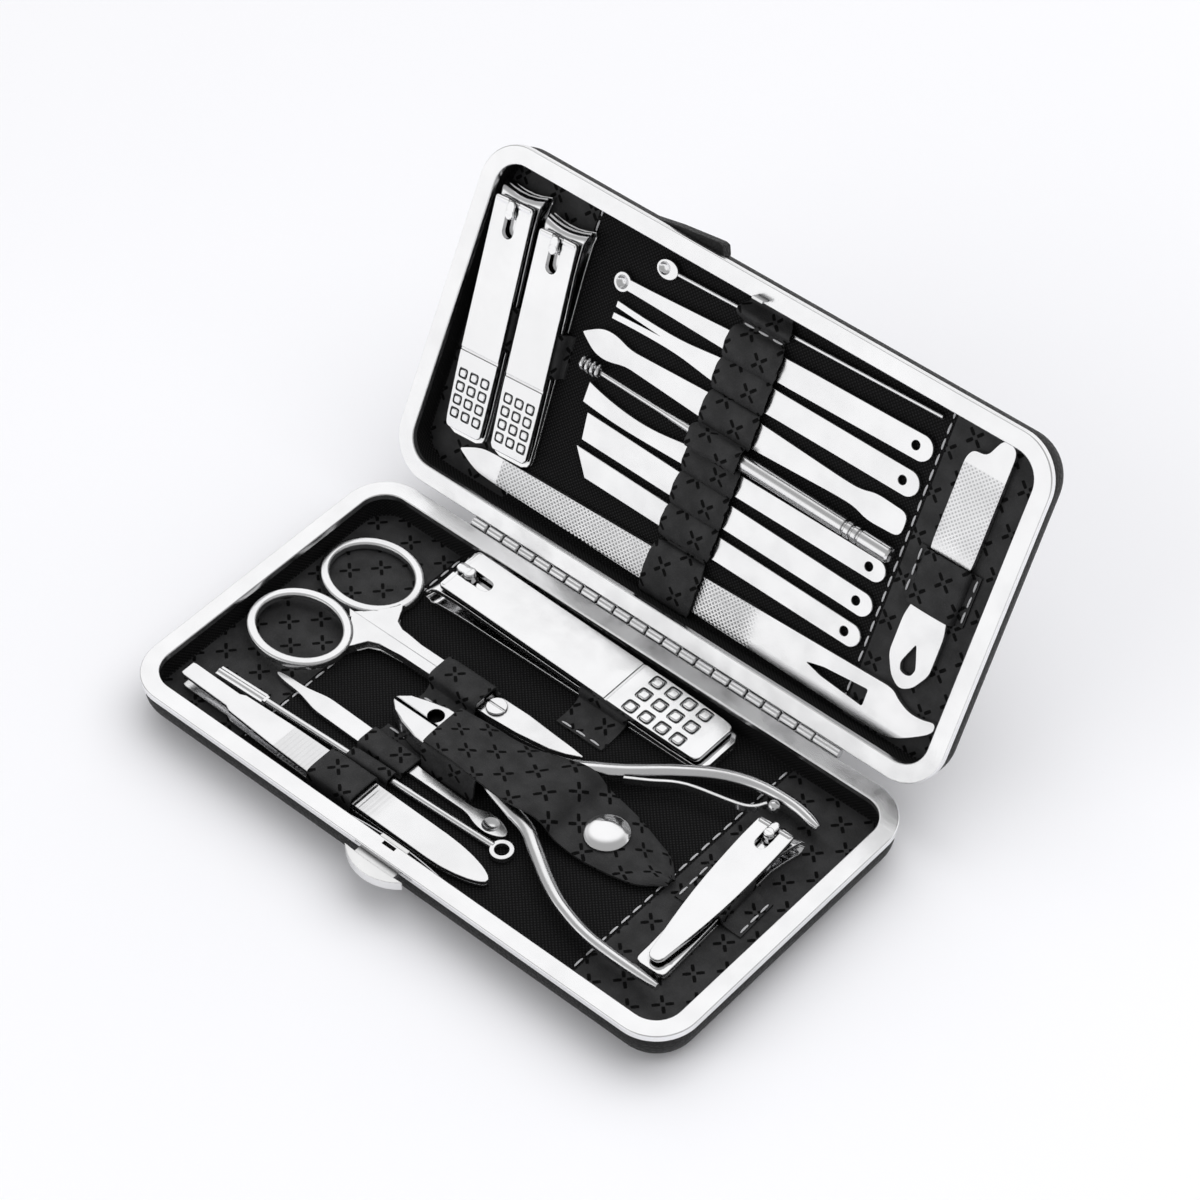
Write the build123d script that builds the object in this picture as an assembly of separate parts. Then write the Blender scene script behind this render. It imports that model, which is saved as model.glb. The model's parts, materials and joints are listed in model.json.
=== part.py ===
from build123d import *
from math import atan2, degrees, radians, tan
import os

# Hinged manicure set case, open, with its tools stowed. Millimetres.
# The origin is the centre of the base's flat underside. X runs along the case, +Y towards the
# hinge, -Y towards the latch, +Z up. Each tray and what lies in it is built in the tray's own
# frame, with the tray lying on its back, and the lid tray is then hung on the hinge axis.

# Clearances
rim_gap = 0.3  # between the two rims when the case is shut
wall_gap = 0.8  # from a tool to the rim's inner edge
floor_gap = 0.15  # under a tool, above the lining
skin_gap = 0.1  # from the frame's lips to the skins clamped between them
loop_gap = 0.2  # between an elastic loop and the tool that it holds
slide_gap = 0.25  # round the latch button where it passes through the wall
pin_gap = 0.05  # radial, in the hinge knuckles and pivots
knuckle_gap = 0.15  # along the hinge, from knuckle to knuckle
leaf_gap = 0.03  # between plates that lie on each other

# Tray walls
frame_width = 4.4
frame_sheet = 0.5
frame_top = 0.7
frame_lip = 1.6
frame_edge_radius = 0.3
corner_radius = 11.0
bottom_radius = 8.0
cover_sheet = 0.6
shell_sheet = 0.8
padding_depth = 2.4
lining_sheet = 0.7
lining_radius = 1.5
tray_depth = 7.45

# Hinge
hinge_offset = 1.12
hinge_open_angle = 119.0
knuckle_radius = 1.1
hinge_pin_radius = 0.5
knuckle_count = 21
knuckle_length = 4.7
hinge_end_length = 7.0
hinge_end_radius = 1.05
hinge_leaf_sheet = 0.45
hinge_leaf_height = 3.0
hinge_shift = -1.0

# Latch
latch_travel = 0.9
latch_stem_width = 11.5
latch_stem_height = 1.2
latch_thumb_width = 17.0
latch_thumb_reach = 3.4
latch_thumb_gap = 1.6
latch_thumb_height = 2.4
catch_plate_width = 8.0
catch_plate_sheet = 0.7
catch_hook_width = 3.0
catch_hook_sheet = 0.45
catch_barb = 0.25
catch_inset = 3.05
catch_gap = 0.1  # from the hook to the window's outer end with the button pressed
leaf_spring_length = 39.0
leaf_spring_bow = 2.0
leaf_spring_sheet = 0.3
leaf_spring_height = 1.9
catch_boss_length = 21.0
catch_boss_rise = 2.6
catch_boss_shift = -24.5

# Elastic loops and the strap
loop_sheet = 0.5
loop_foot = 0.8
strap_sheet = 1.1
strap_root_width = 13.0
strap_width = 19.0
strap_reach = 48.0
loop_width = 14.0
narrow_loop_width = 11.0
band_width = 15.0
band_reach = 43.6  # from the inner end of a small tool to the middle of the band
sleeve_length = 14.0
scissors_loop_at = -10.2  # along each tool, from its own origin to the middle of its loop
pick_loop_at = 35.5
rod_loop_at = 45.8
tweezer_loop_at = 47.7
large_loop_at = 53.7
slim_loop_at = 22.0
clipper_a_loop_at = 33.0
clipper_b_loop_at = 31.0
multi_loop_at = 36.5
file_band_at = 65.0
snap_radius = 5.2
snap_rise = 1.5
snap_stud_radius = 1.8
snap_rivet_radius = 1.2
snap_socket_radius = 3.4

# Thin tools of the lid
thin_length = 92.5
thin_sheet = 1.3
thin_hole_radius = 1.1
thin_hole_inset = 4.4

# File and multi-tool of the lid
file_sheet = 1.5
file_tip_width = 6.6
file_end_width = 11.0
file_length = 138.0
multi_length = 61.8
multi_width = 11.0
multi_sheet = 1.6

# Scissors
scissors_ring_length = 26.4
scissors_ring_width = 22.0
scissors_wire = 2.4
scissors_layer = 1.45
scissors_shank_width = 3.1
scissors_tip_reach = 24.0
scissors_pivot_reach = 63.0
scissors_screw_radius = 1.2

# Nippers
nipper_pivot_reach = 21.5
nipper_head_width = 11.2
nipper_layer = 2.9
nipper_joint_radius = 5.6
nipper_handle_reach = 74.0
nipper_handle_width = 2.8
nipper_handle_thickness = 2.5
nipper_handle_rise = 2.35
nipper_rivet_radius = 2.0
nipper_spring_sheet = 0.8
nipper_spring_height = 2.0
nipper_ball_radius = 1.6
nipper_close = 1.3

# Tweezers
tweezer_length = 91.0
tweezer_width = 7.8
tweezer_tip_width = 4.2
tweezer_tip_length = 16.0
tweezer_sheet = 1.0
tweezer_joint = 11.0
tweezer_spread = 3.0

# Double-ended pick and ring rod
pick_length = 71.0
pick_width = 5.0
pick_neck = 1.8
pick_sheet = 1.4
rod_length = 81.2
rod_radius = 0.9
rod_ring_radius = 2.7


def block(inset, low, high):
    """A block with the tray's rounded outline, drawn in from the rim by inset."""
    outline = RectangleRounded(case_length - 2 * inset, case_width - 2 * inset, corner_radius - inset)
    return extrude(Pos(0, 0, low) * outline, high - low)


def tub(inset, low, high):
    """The block with its lower edge rounded as the outside of the tray is."""
    solid = block(inset, low, high)
    return fillet(solid.edges().group_by(Axis.Z)[0], bottom_radius - low)


def plate(face, low, high):
    return extrude(Pos(0, 0, low) * face, high - low)


def polygon(points):
    return make_face(Polyline(*points, close=True))


def side_profile(points, width):
    """A profile drawn in X and Z, given width across Y, centred."""
    face = make_face(Polyline(*points, close=True))
    return extrude(Plane.XZ * face, amount=width / 2, both=True)


def ribbon(points, start_width, end_width, steps=8):
    """A strip of changing width along a smooth line."""
    line = Spline(*points)
    left = []
    right = []
    for step in range(steps + 1):
        part = step / steps
        at = line @ part
        along = line % part
        half = (start_width + (end_width - start_width) * part) / 2
        left.append((at.X - along.Y * half, at.Y + along.X * half))
        right.append((at.X + along.Y * half, at.Y - along.X * half))
    right.reverse()
    edges = [Spline(*left), Line(left[-1], right[0]), Spline(*right), Line(right[-1], left[0])]
    return make_face(edges)


def mirrored(points):
    """A closed outline from its upper half, listed from one end to the other."""
    lower = [(x, -y) for x, y in reversed(points) if y > 0]
    return list(points) + lower


# ---------------------------------------------------------------- clippers
class Clipper:
    """A nail clipper on its back: two leaves, a pin and a lever folded down on the upper leaf.

    X runs from the cutting edges to the tail, Y across, Z up from the underside.
    """

    pin_clearance = 0.35
    pin_flange = 0.8
    pin_foot = 0.5
    bar_radius = 0.75
    lever_lift = 0.75
    hook_gap = 0.12
    bar_gap = 0.3
    hook_rise = 0.8
    jaw_taper = 10.0
    dimple_depth = 0.4

    def __init__(self, length, width, jaw_width, leaf, rise, jaw_gap, pin_radius, pin_inset, lever):
        self.length = length
        self.width = width
        self.jaw_width = jaw_width
        self.leaf = leaf
        self.rise = rise
        self.jaw_gap = jaw_gap
        self.pin_radius = pin_radius
        self.pin_inset = pin_inset
        self.lever_size = lever
        self.joined = 0.15 * length
        self.jaw_sheet = leaf * 1.1
        self.root = length - self.joined
        self.edge = leaf + (rise - jaw_gap) / 2
        self.slope = atan2(rise, self.root - self.jaw_sheet)
        self.bar_inset = pin_inset - pin_radius - self.bar_radius - self.bar_gap
        self.leaf_top = 2 * leaf + rise
        self.bar_height = self.leaf_top + self.lever_lift + self.bar_radius

    def plan(self):
        half = self.width / 2
        jaw = self.jaw_width / 2
        tail_round = half * 0.35
        outline = polygon(
            mirrored(
                [(0, jaw), (self.pin_inset, jaw), (self.jaw_taper + self.pin_inset, half), (self.length, half)]
            )
        )
        tail = outline.vertices().group_by(Axis.X)[-1]
        return plate(fillet(tail, tail_round), -1, self.bar_height)

    def hole(self):
        radius = self.pin_radius + self.pin_clearance
        return Pos(self.pin_inset, 0, self.leaf_top / 2) * Cylinder(radius, 2 * self.leaf_top)

    def lower_leaf(self):
        leaf = self.leaf
        points = [
            (0.5 * leaf, 0),
            (self.length, 0),
            (self.length, leaf),
            (self.jaw_sheet + leaf, leaf),
            (self.jaw_sheet, self.edge - 0.1),
            (0.35, self.edge),
            (0, self.edge),
            (0, 0.8 * leaf),
        ]
        seat_radius = self.pin_radius + self.pin_flange + self.pin_clearance
        seat = Pos(self.pin_inset, 0, 0) * Cylinder(seat_radius, 2 * (self.pin_foot + leaf_gap))
        return (side_profile(points, self.jaw_width) & self.plan()) - self.hole() - seat

    def upper_leaf(self):
        leaf = self.leaf
        low = leaf + leaf_gap
        front = leaf + self.rise
        points = [
            (self.length, low),
            (self.root, low),
            (self.jaw_sheet + leaf, front),
            (self.jaw_sheet, self.edge + self.jaw_gap + 0.1),
            (0.35, self.edge + self.jaw_gap),
            (0, self.edge + self.jaw_gap),
            (0, front + 0.2 * leaf),
            (0.6 * leaf, front + leaf),
            (self.jaw_sheet + leaf, front + leaf),
            (self.root, low + leaf),
            (self.length, low + leaf),
        ]
        return (side_profile(points, self.jaw_width) & self.plan()) - self.hole()

    def pin(self):
        top = self.bar_height + self.bar_radius + self.hook_gap + self.hook_rise
        shaft = Pos(self.pin_inset, 0, top / 2) * Cylinder(self.pin_radius, top)
        foot_radius = self.pin_radius + self.pin_flange
        foot = Pos(self.pin_inset, 0, self.pin_foot / 2) * Cylinder(foot_radius, self.pin_foot)
        reach = self.pin_inset - self.bar_inset + self.bar_radius
        hook = Pos(self.pin_inset - reach / 2, 0, top - self.hook_rise / 2) * Box(
            reach, 1.7 * self.pin_radius, self.hook_rise
        )
        return shaft + foot + hook

    def lever(self):
        """Built about its bar, which is the axis that it tilts on, then laid along the leaf."""
        size = self.lever_size
        half = size["width"] / 2
        tail = size["tail_width"] / 2
        sheet = size["sheet"]
        reach = size["length"]
        outline = polygon(mirrored([(0, half), (size["taper_from"], half), (reach, tail)]))
        corners = outline.vertices().group_by(Axis.X)[-1]
        body = plate(fillet(corners, size["tail_round"]), -sheet / 2, sheet / 2)
        bar = Rot(90, 0, 0) * Cylinder(self.bar_radius, size["width"])
        slot_reach = self.bar_radius + size["slot"]
        slot_face = SlotOverall(2 * slot_reach, 2 * (self.pin_radius + self.pin_clearance))
        lever = body - extrude(Pos(0, 0, -sheet) * slot_face, 2 * sheet) + bar
        if "step_at" in size:
            lever -= Pos(size["step_at"], 0, sheet / 2) * Box(0.7, size["width"] + 1, 0.5)
            columns = size["dimple_columns"]
            pitch = size["dimple_pitch"]
            for row in range(size["dimple_rows"]):
                for column in range(columns):
                    at_x = size["dimples_at"] + row * pitch
                    at_y = (column - (columns - 1) / 2) * pitch
                    pocket = Box(size["dimple"], size["dimple"], 2 * self.dimple_depth)
                    lever -= Pos(at_x, at_y, sheet / 2) * pocket
        return self.lever_place() * lever

    def lever_place(self):
        return Pos(self.bar_inset, 0, self.bar_height) * Rot(0, degrees(self.slope), 0)

    def loop_height(self, at):
        """Top of the leaves at a distance from the jaws."""
        run = max(self.root - at, 0)
        return 2 * self.leaf + leaf_gap + run * tan(self.slope)


large_clipper = Clipper(
    length=82.5,
    width=13.4,
    jaw_width=14.4,
    leaf=1.4,
    rise=3.2,
    jaw_gap=1.5,
    pin_radius=1.5,
    pin_inset=7.2,
    lever={
        "length": 76.0,
        "width": 13.6,
        "tail_width": 13.0,
        "taper_from": 60.0,
        "tail_round": 1.6,
        "sheet": 1.3,
        "slot": 8.4,
        "step_at": 49.5,
        "dimple_rows": 4,
        "dimple_columns": 3,
        "dimples_at": 55.2,
        "dimple_pitch": 4.6,
        "dimple": 3.2,
    },
)
lid_lever = {
    "width": 11.0,
    "tail_width": 10.4,
    "taper_from": 40.0,
    "tail_round": 1.2,
    "sheet": 1.2,
    "slot": 7.6,
    "dimple_rows": 4,
    "dimple_columns": 3,
    "dimple_pitch": 3.3,
    "dimple": 2.3,
}
lid_clipper_a = Clipper(
    length=62.5,
    width=10.8,
    jaw_width=11.5,
    leaf=1.1,
    rise=2.9,
    jaw_gap=1.2,
    pin_radius=1.25,
    pin_inset=6.4,
    lever={**lid_lever, "length": 57.0, "step_at": 37.5, "dimples_at": 43.2},
)
lid_clipper_b = Clipper(
    length=59.5,
    width=10.8,
    jaw_width=11.5,
    leaf=1.1,
    rise=2.9,
    jaw_gap=1.2,
    pin_radius=1.25,
    pin_inset=6.4,
    lever={**lid_lever, "length": 54.0, "step_at": 35.5, "dimples_at": 40.7},
)
slim_clipper = Clipper(
    length=47.0,
    width=7.6,
    jaw_width=10.6,
    leaf=1.0,
    rise=2.8,
    jaw_gap=1.1,
    pin_radius=1.2,
    pin_inset=6.0,
    lever={
        "length": 42.0,
        "width": 9.4,
        "tail_width": 3.6,
        "taper_from": 6.0,
        "tail_round": 1.5,
        "sheet": 1.1,
        "slot": 5.6,
    },
)

# ---------------------------------------------------------------- layout
# Lid rows, from the far rim to the hinge: blank width, gap before it, tilt in degrees, and the
# width and height held by the band.
thin_tools = {
    "ear_pick": {"width": 4.4, "gap": 2.2, "tilt": 1.6, "held": 1.2, "high": 1.2},
    "cup_extractor": {"width": 6.0, "gap": 3.2, "tilt": 1.1, "held": 6.0, "high": 1.3},
    "fork_trimmer": {"width": 6.0, "gap": 2.6, "tilt": -0.2, "held": 6.0, "high": 1.3},
    "leaf_pusher": {"width": 6.6, "gap": 2.7, "tilt": -0.5, "held": 6.6, "high": 1.3},
    "coil_extractor": {"width": 4.0, "gap": 1.9, "tilt": -1.2, "held": 4.0, "high": 4.0},
    "curved_knife": {"width": 5.2, "gap": 0.6, "tilt": -0.4, "held": 5.4, "high": 1.3},
    "straight_knife": {"width": 5.6, "gap": 3.2, "tilt": -1.4, "held": 6.4, "high": 1.3},
    "angled_knife": {"width": 5.4, "gap": 2.2, "tilt": -1.1, "held": 6.0, "high": 1.3},
}
file_gap = 2.5
lid_clipper_gap = 2.5
lid_clipper_slant = 4.0
thin_clipper_gap = 0.75
multi_gap = 7.6
multi_wall = 8.6
multi_far_gap = 1.6

# Base rows, from the hinge rim to the latch
scissors_row_gap = 12.2
nipper_row_gap = 5.7
pick_row_gap = 0.85
rod_row_gap = 3.25
tweezer_row_gap = 2.8
tweezer_wall = 4.2
clipper_ring_gap = 0.7
nipper_wall = 8.0
nipper_tip_from_wall = 46.2
slim_clipper_wall = 11.2
slim_clipper_far = 15.6
slim_clipper_slant = 2.0

lid_rows = sum(tool["width"] + tool["gap"] for tool in thin_tools.values())
lid_rows += file_gap + file_end_width + wall_gap
base_rows = (
    wall_gap
    + large_clipper.jaw_width
    + scissors_row_gap
    + 2 * scissors_shank_width
    + nipper_row_gap
    + nipper_head_width
    + pick_row_gap
    + pick_width
    + rod_row_gap
    + 2 * rod_radius
    + tweezer_row_gap
    + tweezer_width
    + tweezer_wall
)
slant_shift = lid_clipper_a.length * tan(radians(lid_clipper_slant))
lid_run = (
    wall_gap
    + lid_clipper_a.jaw_width
    + lid_clipper_gap
    + lid_clipper_b.jaw_width
    + slant_shift
    + thin_clipper_gap
    + thin_length
    + multi_gap
    + multi_width
    + multi_wall
)
base_run = nipper_tip_from_wall + nipper_pivot_reach + nipper_handle_reach + nipper_wall

inner_length = max(lid_run, base_run)
inner_width = max(lid_rows, base_rows)
case_length = inner_length + 2 * frame_width
case_width = inner_width + 2 * frame_width
half_length = inner_length / 2
half_width = inner_width / 2
floor_height = cover_sheet + shell_sheet + padding_depth + lining_sheet
tray_height = floor_height + tray_depth
mid_height = tray_height + rim_gap / 2
rest_height = floor_height + floor_gap
hinge_y = case_width / 2 + hinge_offset

hinge_place = (
    Pos(0, hinge_y, mid_height)
    * Rot(180 - hinge_open_angle, 0, 0)
    * Pos(0, hinge_offset + case_width / 2, -mid_height)
)


def in_lid(solid):
    return hinge_place * solid


def laid(x, y, heading):
    """Where a tool lies in its tray: its own origin at x, y on the lining, turned to a heading."""
    return Pos(x, y, rest_height) * Rot(0, 0, heading)


# ---------------------------------------------------------------- trays
cover_inset = frame_sheet + skin_gap
shell_inset = cover_inset + cover_sheet
padding_inset = shell_inset + shell_sheet
lining_inner = frame_width - frame_sheet - skin_gap
lining_inset = lining_inner - lining_sheet
skin_top = tray_height - frame_top - leaf_gap
stem_top = tray_height - frame_lip - leaf_gap
stem_low = stem_top - latch_stem_height
catch_top = tray_height - frame_top - 2 * leaf_gap
catch_low = catch_top - catch_plate_sheet
plate_reach = lining_inner + leaf_gap + leaf_spring_bow - 0.15
stem_pocket_low = stem_low - slide_gap


def latch_pocket():
    """The way through the front wall that the latch button needs."""
    width = latch_stem_width + 2 * slide_gap
    high = tray_height - frame_top - leaf_gap
    depth = 3 * frame_width
    return Pos(0, -case_width / 2, (stem_pocket_low + high) / 2) * Box(width, depth, high - stem_pocket_low)


def tray_parts(with_latch):
    cover = tub(cover_inset, 0, skin_top) - tub(shell_inset, cover_sheet, tray_height)
    shell = tub(shell_inset, cover_sheet, skin_top) - tub(padding_inset, cover_sheet + shell_sheet, tray_height)
    under_lining = floor_height - lining_sheet
    liner = block(lining_inset, under_lining, skin_top)
    liner = fillet(liner.edges().group_by(Axis.Z)[0], lining_radius)
    padding = tub(padding_inset, cover_sheet + shell_sheet, skin_top) - liner
    lining = liner - block(lining_inner, floor_height, tray_height)
    ring = block(0, tray_height - frame_lip, tray_height) - block(frame_width, 0, 2 * tray_height)
    channel = block(frame_sheet, 0, tray_height - frame_top)
    channel -= block(frame_width - frame_sheet, 0, tray_height)
    top_edges = ring.edges().group_by(Axis.Z)[-1]
    frame = fillet(top_edges, frame_edge_radius) - channel
    if with_latch:
        pocket = latch_pocket()
        cover -= pocket
        shell -= pocket
        padding -= pocket
        lining -= pocket
        slot_width = catch_hook_width + 2 * slide_gap
        slot_reach = catch_hook_sheet + catch_barb + slide_gap
        slot_y = -case_width / 2 + catch_inset + (catch_hook_sheet + catch_barb) / 2
        frame -= Pos(0, slot_y, tray_height) * Box(slot_width, slot_reach, 2 * frame_lip)
        notch_width = catch_plate_width + 2 * slide_gap
        notch_high = tray_height - frame_top - leaf_gap
        frame -= Pos(0, -case_width / 2 + frame_width, notch_high - frame_lip) * Box(
            notch_width, 3 * frame_sheet, 2 * frame_lip
        )
    return {"cover": cover, "shell": shell, "padding": padding, "frame": frame, "lining": lining}


# ---------------------------------------------------------------- hinge
def knuckle_start(index):
    run = knuckle_count * (knuckle_length + knuckle_gap)
    return hinge_shift - run / 2 + index * (knuckle_length + knuckle_gap)


def hinge_half(side, first):
    """Every second knuckle with its leaf. side is +1 with the hinge at +Y, -1 with it at -Y."""
    face_y = side * case_width / 2
    axis_y = side * (case_width / 2 + hinge_offset)
    leaf_top = mid_height - knuckle_radius - knuckle_gap
    leaf_length = knuckle_start(knuckle_count) - knuckle_start(0)
    leaf_x = (knuckle_start(knuckle_count) + knuckle_start(0)) / 2
    leaf_y = face_y + side * hinge_leaf_sheet / 2
    half = Pos(leaf_x, leaf_y, leaf_top - hinge_leaf_height / 2) * Box(
        leaf_length, hinge_leaf_sheet, hinge_leaf_height
    )
    for index in range(first, knuckle_count, 2):
        middle = knuckle_start(index) + knuckle_length / 2
        barrel = Pos(middle, axis_y, mid_height) * Rot(0, 90, 0) * Cylinder(knuckle_radius, knuckle_length)
        tab_height = mid_height - leaf_top + leaf_gap
        tab = Pos(middle, leaf_y, mid_height - tab_height / 2 - rim_gap / 2) * Box(
            knuckle_length, hinge_leaf_sheet, tab_height
        )
        half += barrel + tab
    bore = Cylinder(hinge_pin_radius + pin_gap, 2 * leaf_length)
    bore = Pos(leaf_x, axis_y, mid_height) * Rot(0, 90, 0) * bore
    return half - bore


def hinge_pin():
    start = knuckle_start(0)
    stop = knuckle_start(knuckle_count)
    run = stop - start
    pin = Pos(start + run / 2, hinge_y, mid_height) * Rot(0, 90, 0) * Cylinder(hinge_pin_radius, run)
    end = Pos(stop + hinge_end_length / 2, hinge_y, mid_height) * Rot(0, 90, 0) * Cylinder(
        hinge_end_radius, hinge_end_length
    )
    return pin + end


# ---------------------------------------------------------------- latch
def latch_button():
    front = -case_width / 2
    stem_front = front - latch_thumb_gap - latch_thumb_reach / 2
    stem_back = front + catch_inset - latch_travel - catch_gap
    stem = Pos(0, (stem_front + stem_back) / 2, (stem_low + stem_top) / 2) * Box(
        latch_stem_width, stem_back - stem_front, latch_stem_height
    )
    riser_front = front + frame_sheet + slide_gap
    riser = Pos(0, (riser_front + stem_back) / 2, (stem_low + catch_top) / 2) * Box(
        catch_plate_width, stem_back - riser_front, catch_top - stem_low
    )
    plate_back = front + plate_reach
    tongue = Pos(0, (riser_front + plate_back) / 2, (catch_low + catch_top) / 2) * Box(
        catch_plate_width, plate_back - riser_front, catch_plate_sheet
    )
    lug_low = stem_top - leaf_spring_height / 2 - catch_plate_sheet
    lug = Pos(0, plate_back - catch_plate_sheet / 2, (lug_low + catch_top) / 2) * Box(
        catch_plate_width, catch_plate_sheet, catch_top - lug_low
    )
    window_front = stem_back
    window_back = front + catch_inset + catch_hook_sheet + leaf_gap
    window = Pos(0, (window_front + window_back) / 2, catch_low) * Box(
        catch_hook_width + 2 * slide_gap, window_back - window_front, 4 * catch_plate_sheet
    )
    inner = front - latch_thumb_gap
    outer = inner - latch_thumb_reach
    half = latch_thumb_width / 2
    face = make_face(
        [
            ThreePointArc((-half, inner), (0, inner - 0.3), (half, inner)),
            ThreePointArc((half, inner), (0, outer), (-half, inner)),
        ]
    )
    middle = (stem_low + stem_top) / 2
    thumb = plate(face, middle - latch_thumb_height / 2, middle + latch_thumb_height / 2)
    return stem + riser + tongue + lug + thumb - window


def latch_spring():
    """A bowed leaf that stands along the inside of the front wall and pushes the button out."""
    wall = -case_width / 2 + lining_inner + leaf_gap
    half = leaf_spring_length / 2
    outer = ThreePointArc((-half, wall), (0, wall + leaf_spring_bow), (half, wall))
    inner = ThreePointArc(
        (half, wall + leaf_spring_sheet),
        (0, wall + leaf_spring_bow + leaf_spring_sheet),
        (-half, wall + leaf_spring_sheet),
    )
    ends = [
        Line((half, wall), (half, wall + leaf_spring_sheet)),
        Line((-half, wall + leaf_spring_sheet), (-half, wall)),
    ]
    face = make_face([outer, ends[0], inner, ends[1]])
    top = tray_height - frame_lip - leaf_gap
    return plate(face, top - leaf_spring_height, top)


def catch_hook():
    """Stands on the lid's rim, and its barb goes under the button's plate when the case is shut."""
    front = case_width / 2 - catch_inset
    reach = mid_height + rim_gap / 2 + frame_top + catch_plate_sheet + 0.55 - tray_height
    hook_y = front - catch_hook_sheet / 2
    stem = Pos(0, hook_y, tray_height + reach / 2) * Box(catch_hook_width, catch_hook_sheet, reach)
    barb_y = front - catch_hook_sheet - catch_barb / 2
    barb = Pos(0, barb_y, tray_height + reach - 0.2) * Box(catch_hook_width, catch_barb, 0.4)
    return stem + barb


def catch_boss():
    """The wedge-shaped grip on the lid's far wall, steep at one end."""
    face_y = case_width / 2 - cover_inset
    half = catch_boss_length / 2
    peak = face_y + catch_boss_rise
    steep = [(half, face_y), (half - 1.2, peak - 0.2), (half - 2.4, peak)]
    face = polygon([(-half, face_y)] + steep + [(-0.3 * half, face_y + 1.3)])
    middle = tray_height - frame_lip - 2.2
    return Pos(catch_boss_shift, 0, 0) * plate(face, middle - 1.8, middle + 1.8)


# ---------------------------------------------------------------- loops and strap
def arch(width, span, height, far=None):
    """An elastic loop over a tool that lies along X, in the tool's own frame: its outside and its hollow."""
    far = height if far is None else far
    low = leaf_gap - floor_gap
    half = width / 2
    lean = (far - height) / 2
    inner = span + 2 * loop_gap
    outer = inner + 2 * loop_sheet
    near_top = height + loop_gap
    far_top = far + loop_gap
    skin = [(-half, low), (half, low), (half, far_top + loop_sheet), (-half, near_top + loop_sheet)]
    hollow = [(-width, low - 1), (width, low - 1), (width, far_top + lean), (-width, near_top - lean)]
    foot = Pos(0, 0, low + loop_sheet / 2) * Box(width, outer + 2 * loop_foot, loop_sheet)
    return side_profile(skin, outer) + foot, side_profile(hollow, inner)


def clipper_arch(clipper, at, width):
    """An arch that holds a clipper's leaves and passes under its lever."""
    outside, hollow = arch(
        width, clipper.width, clipper.loop_height(at - width / 2), clipper.loop_height(at + width / 2)
    )
    return Pos(at, 0, 0) * outside, Pos(at, 0, 0) * hollow


def sewn(arches):
    """Loops at their places, as one band where they run into each other."""
    band = arches[0][0]
    for outside, hollow in arches[1:]:
        band += outside
    for outside, hollow in arches:
        band -= hollow
    return band


strap_root = nipper_pivot_reach + sleeve_length / 2 + 2.0
strap_high = 2 * nipper_layer + leaf_gap + 0.8
strap_low = 1.35
snap_reach = strap_root + 29.4
snap_side = 3.4


def strap():
    """The tongue over the nippers: high over the joint, then down between the handles to its snap."""
    end = strap_root + strap_reach
    under = [
        (strap_root, strap_high),
        (strap_root + 12, strap_high + 0.2),
        (strap_root + 17.9, strap_high - 1.2),
        (strap_root + 23.7, strap_low),
        (end, strap_low),
    ]
    over = [(x, z + strap_sheet) for x, z in reversed(under)]
    solid = Pos(0, snap_side / 2, 0) * side_profile(under + over, 2 * strap_width)
    half = strap_width / 2
    upper = [
        (strap_root, strap_root_width / 2),
        (strap_root + 9, half - 0.2),
        (strap_root + 18, half + 3.4),
        (snap_reach, half + 2.6),
        (end - 4, snap_side + 4.5),
    ]
    lower = [
        (strap_root, -strap_root_width / 2),
        (strap_root + 9, 2.6 - half),
        (strap_root + 18, 4.2 - half),
        (snap_reach, 4.4 - half),
        (end - 4, snap_side - 5.5),
    ]
    lower.reverse()
    tip = ThreePointArc(upper[-1], (end, snap_side - 0.6), lower[0])
    face = make_face([Spline(*upper), tip, Spline(*lower), Line(lower[-1], upper[0])])
    hole = Pos(snap_reach, snap_side, 0) * Cylinder(snap_rivet_radius + pin_gap, 4 * strap_high)
    return (solid & plate(face, 0, 2 * strap_high)) - hole


def snap_cap():
    """The domed cap above the strap, its rivet, and the socket under the strap."""
    top = strap_low + strap_sheet + leaf_gap
    dome_radius = (snap_radius**2 + snap_rise**2) / (2 * snap_rise)
    dome = Pos(0, 0, top + snap_rise - dome_radius) * Sphere(dome_radius)
    dome &= Pos(0, 0, top + snap_rise / 2) * Cylinder(snap_radius, snap_rise)
    socket_top = strap_low - leaf_gap
    rivet = Pos(0, 0, (top + socket_top) / 2) * Cylinder(snap_rivet_radius, top - socket_top + 0.4)
    disc = Pos(0, 0, socket_top - 0.1) * Cylinder(snap_socket_radius, 0.2)
    ring = Pos(0, 0, socket_top - 0.45) * Cylinder(snap_socket_radius, 0.9)
    ring -= Pos(0, 0, socket_top - 0.55) * Cylinder(snap_stud_radius + 0.3, 0.7)
    return Pos(snap_reach, snap_side, 0) * (dome + rivet + disc + ring)


def snap_stud():
    low = leaf_gap - floor_gap
    base = Pos(0, 0, low + 0.25) * Cylinder(snap_radius - 1, 0.5)
    stud = Pos(0, 0, low + 0.55) * Cylinder(snap_stud_radius, 1.1)
    return Pos(snap_reach, snap_side, 0) * (base + stud)


# ---------------------------------------------------------------- scissors, pivot at the origin
def ring(side, low):
    at_x = -scissors_pivot_reach + scissors_ring_length / 2
    at_y = side * (scissors_ring_width / 2 + 0.8)
    outer = Ellipse(scissors_ring_length / 2, scissors_ring_width / 2)
    inner = Ellipse(scissors_ring_length / 2 - scissors_wire, scissors_ring_width / 2 - scissors_wire)
    loop_ring = plate(outer - inner, low, low + scissors_wire)
    top_edges = loop_ring.edges().group_by(Axis.Z)[-1]
    return Pos(at_x, at_y, 0) * fillet(top_edges, scissors_wire * 0.3)


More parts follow.
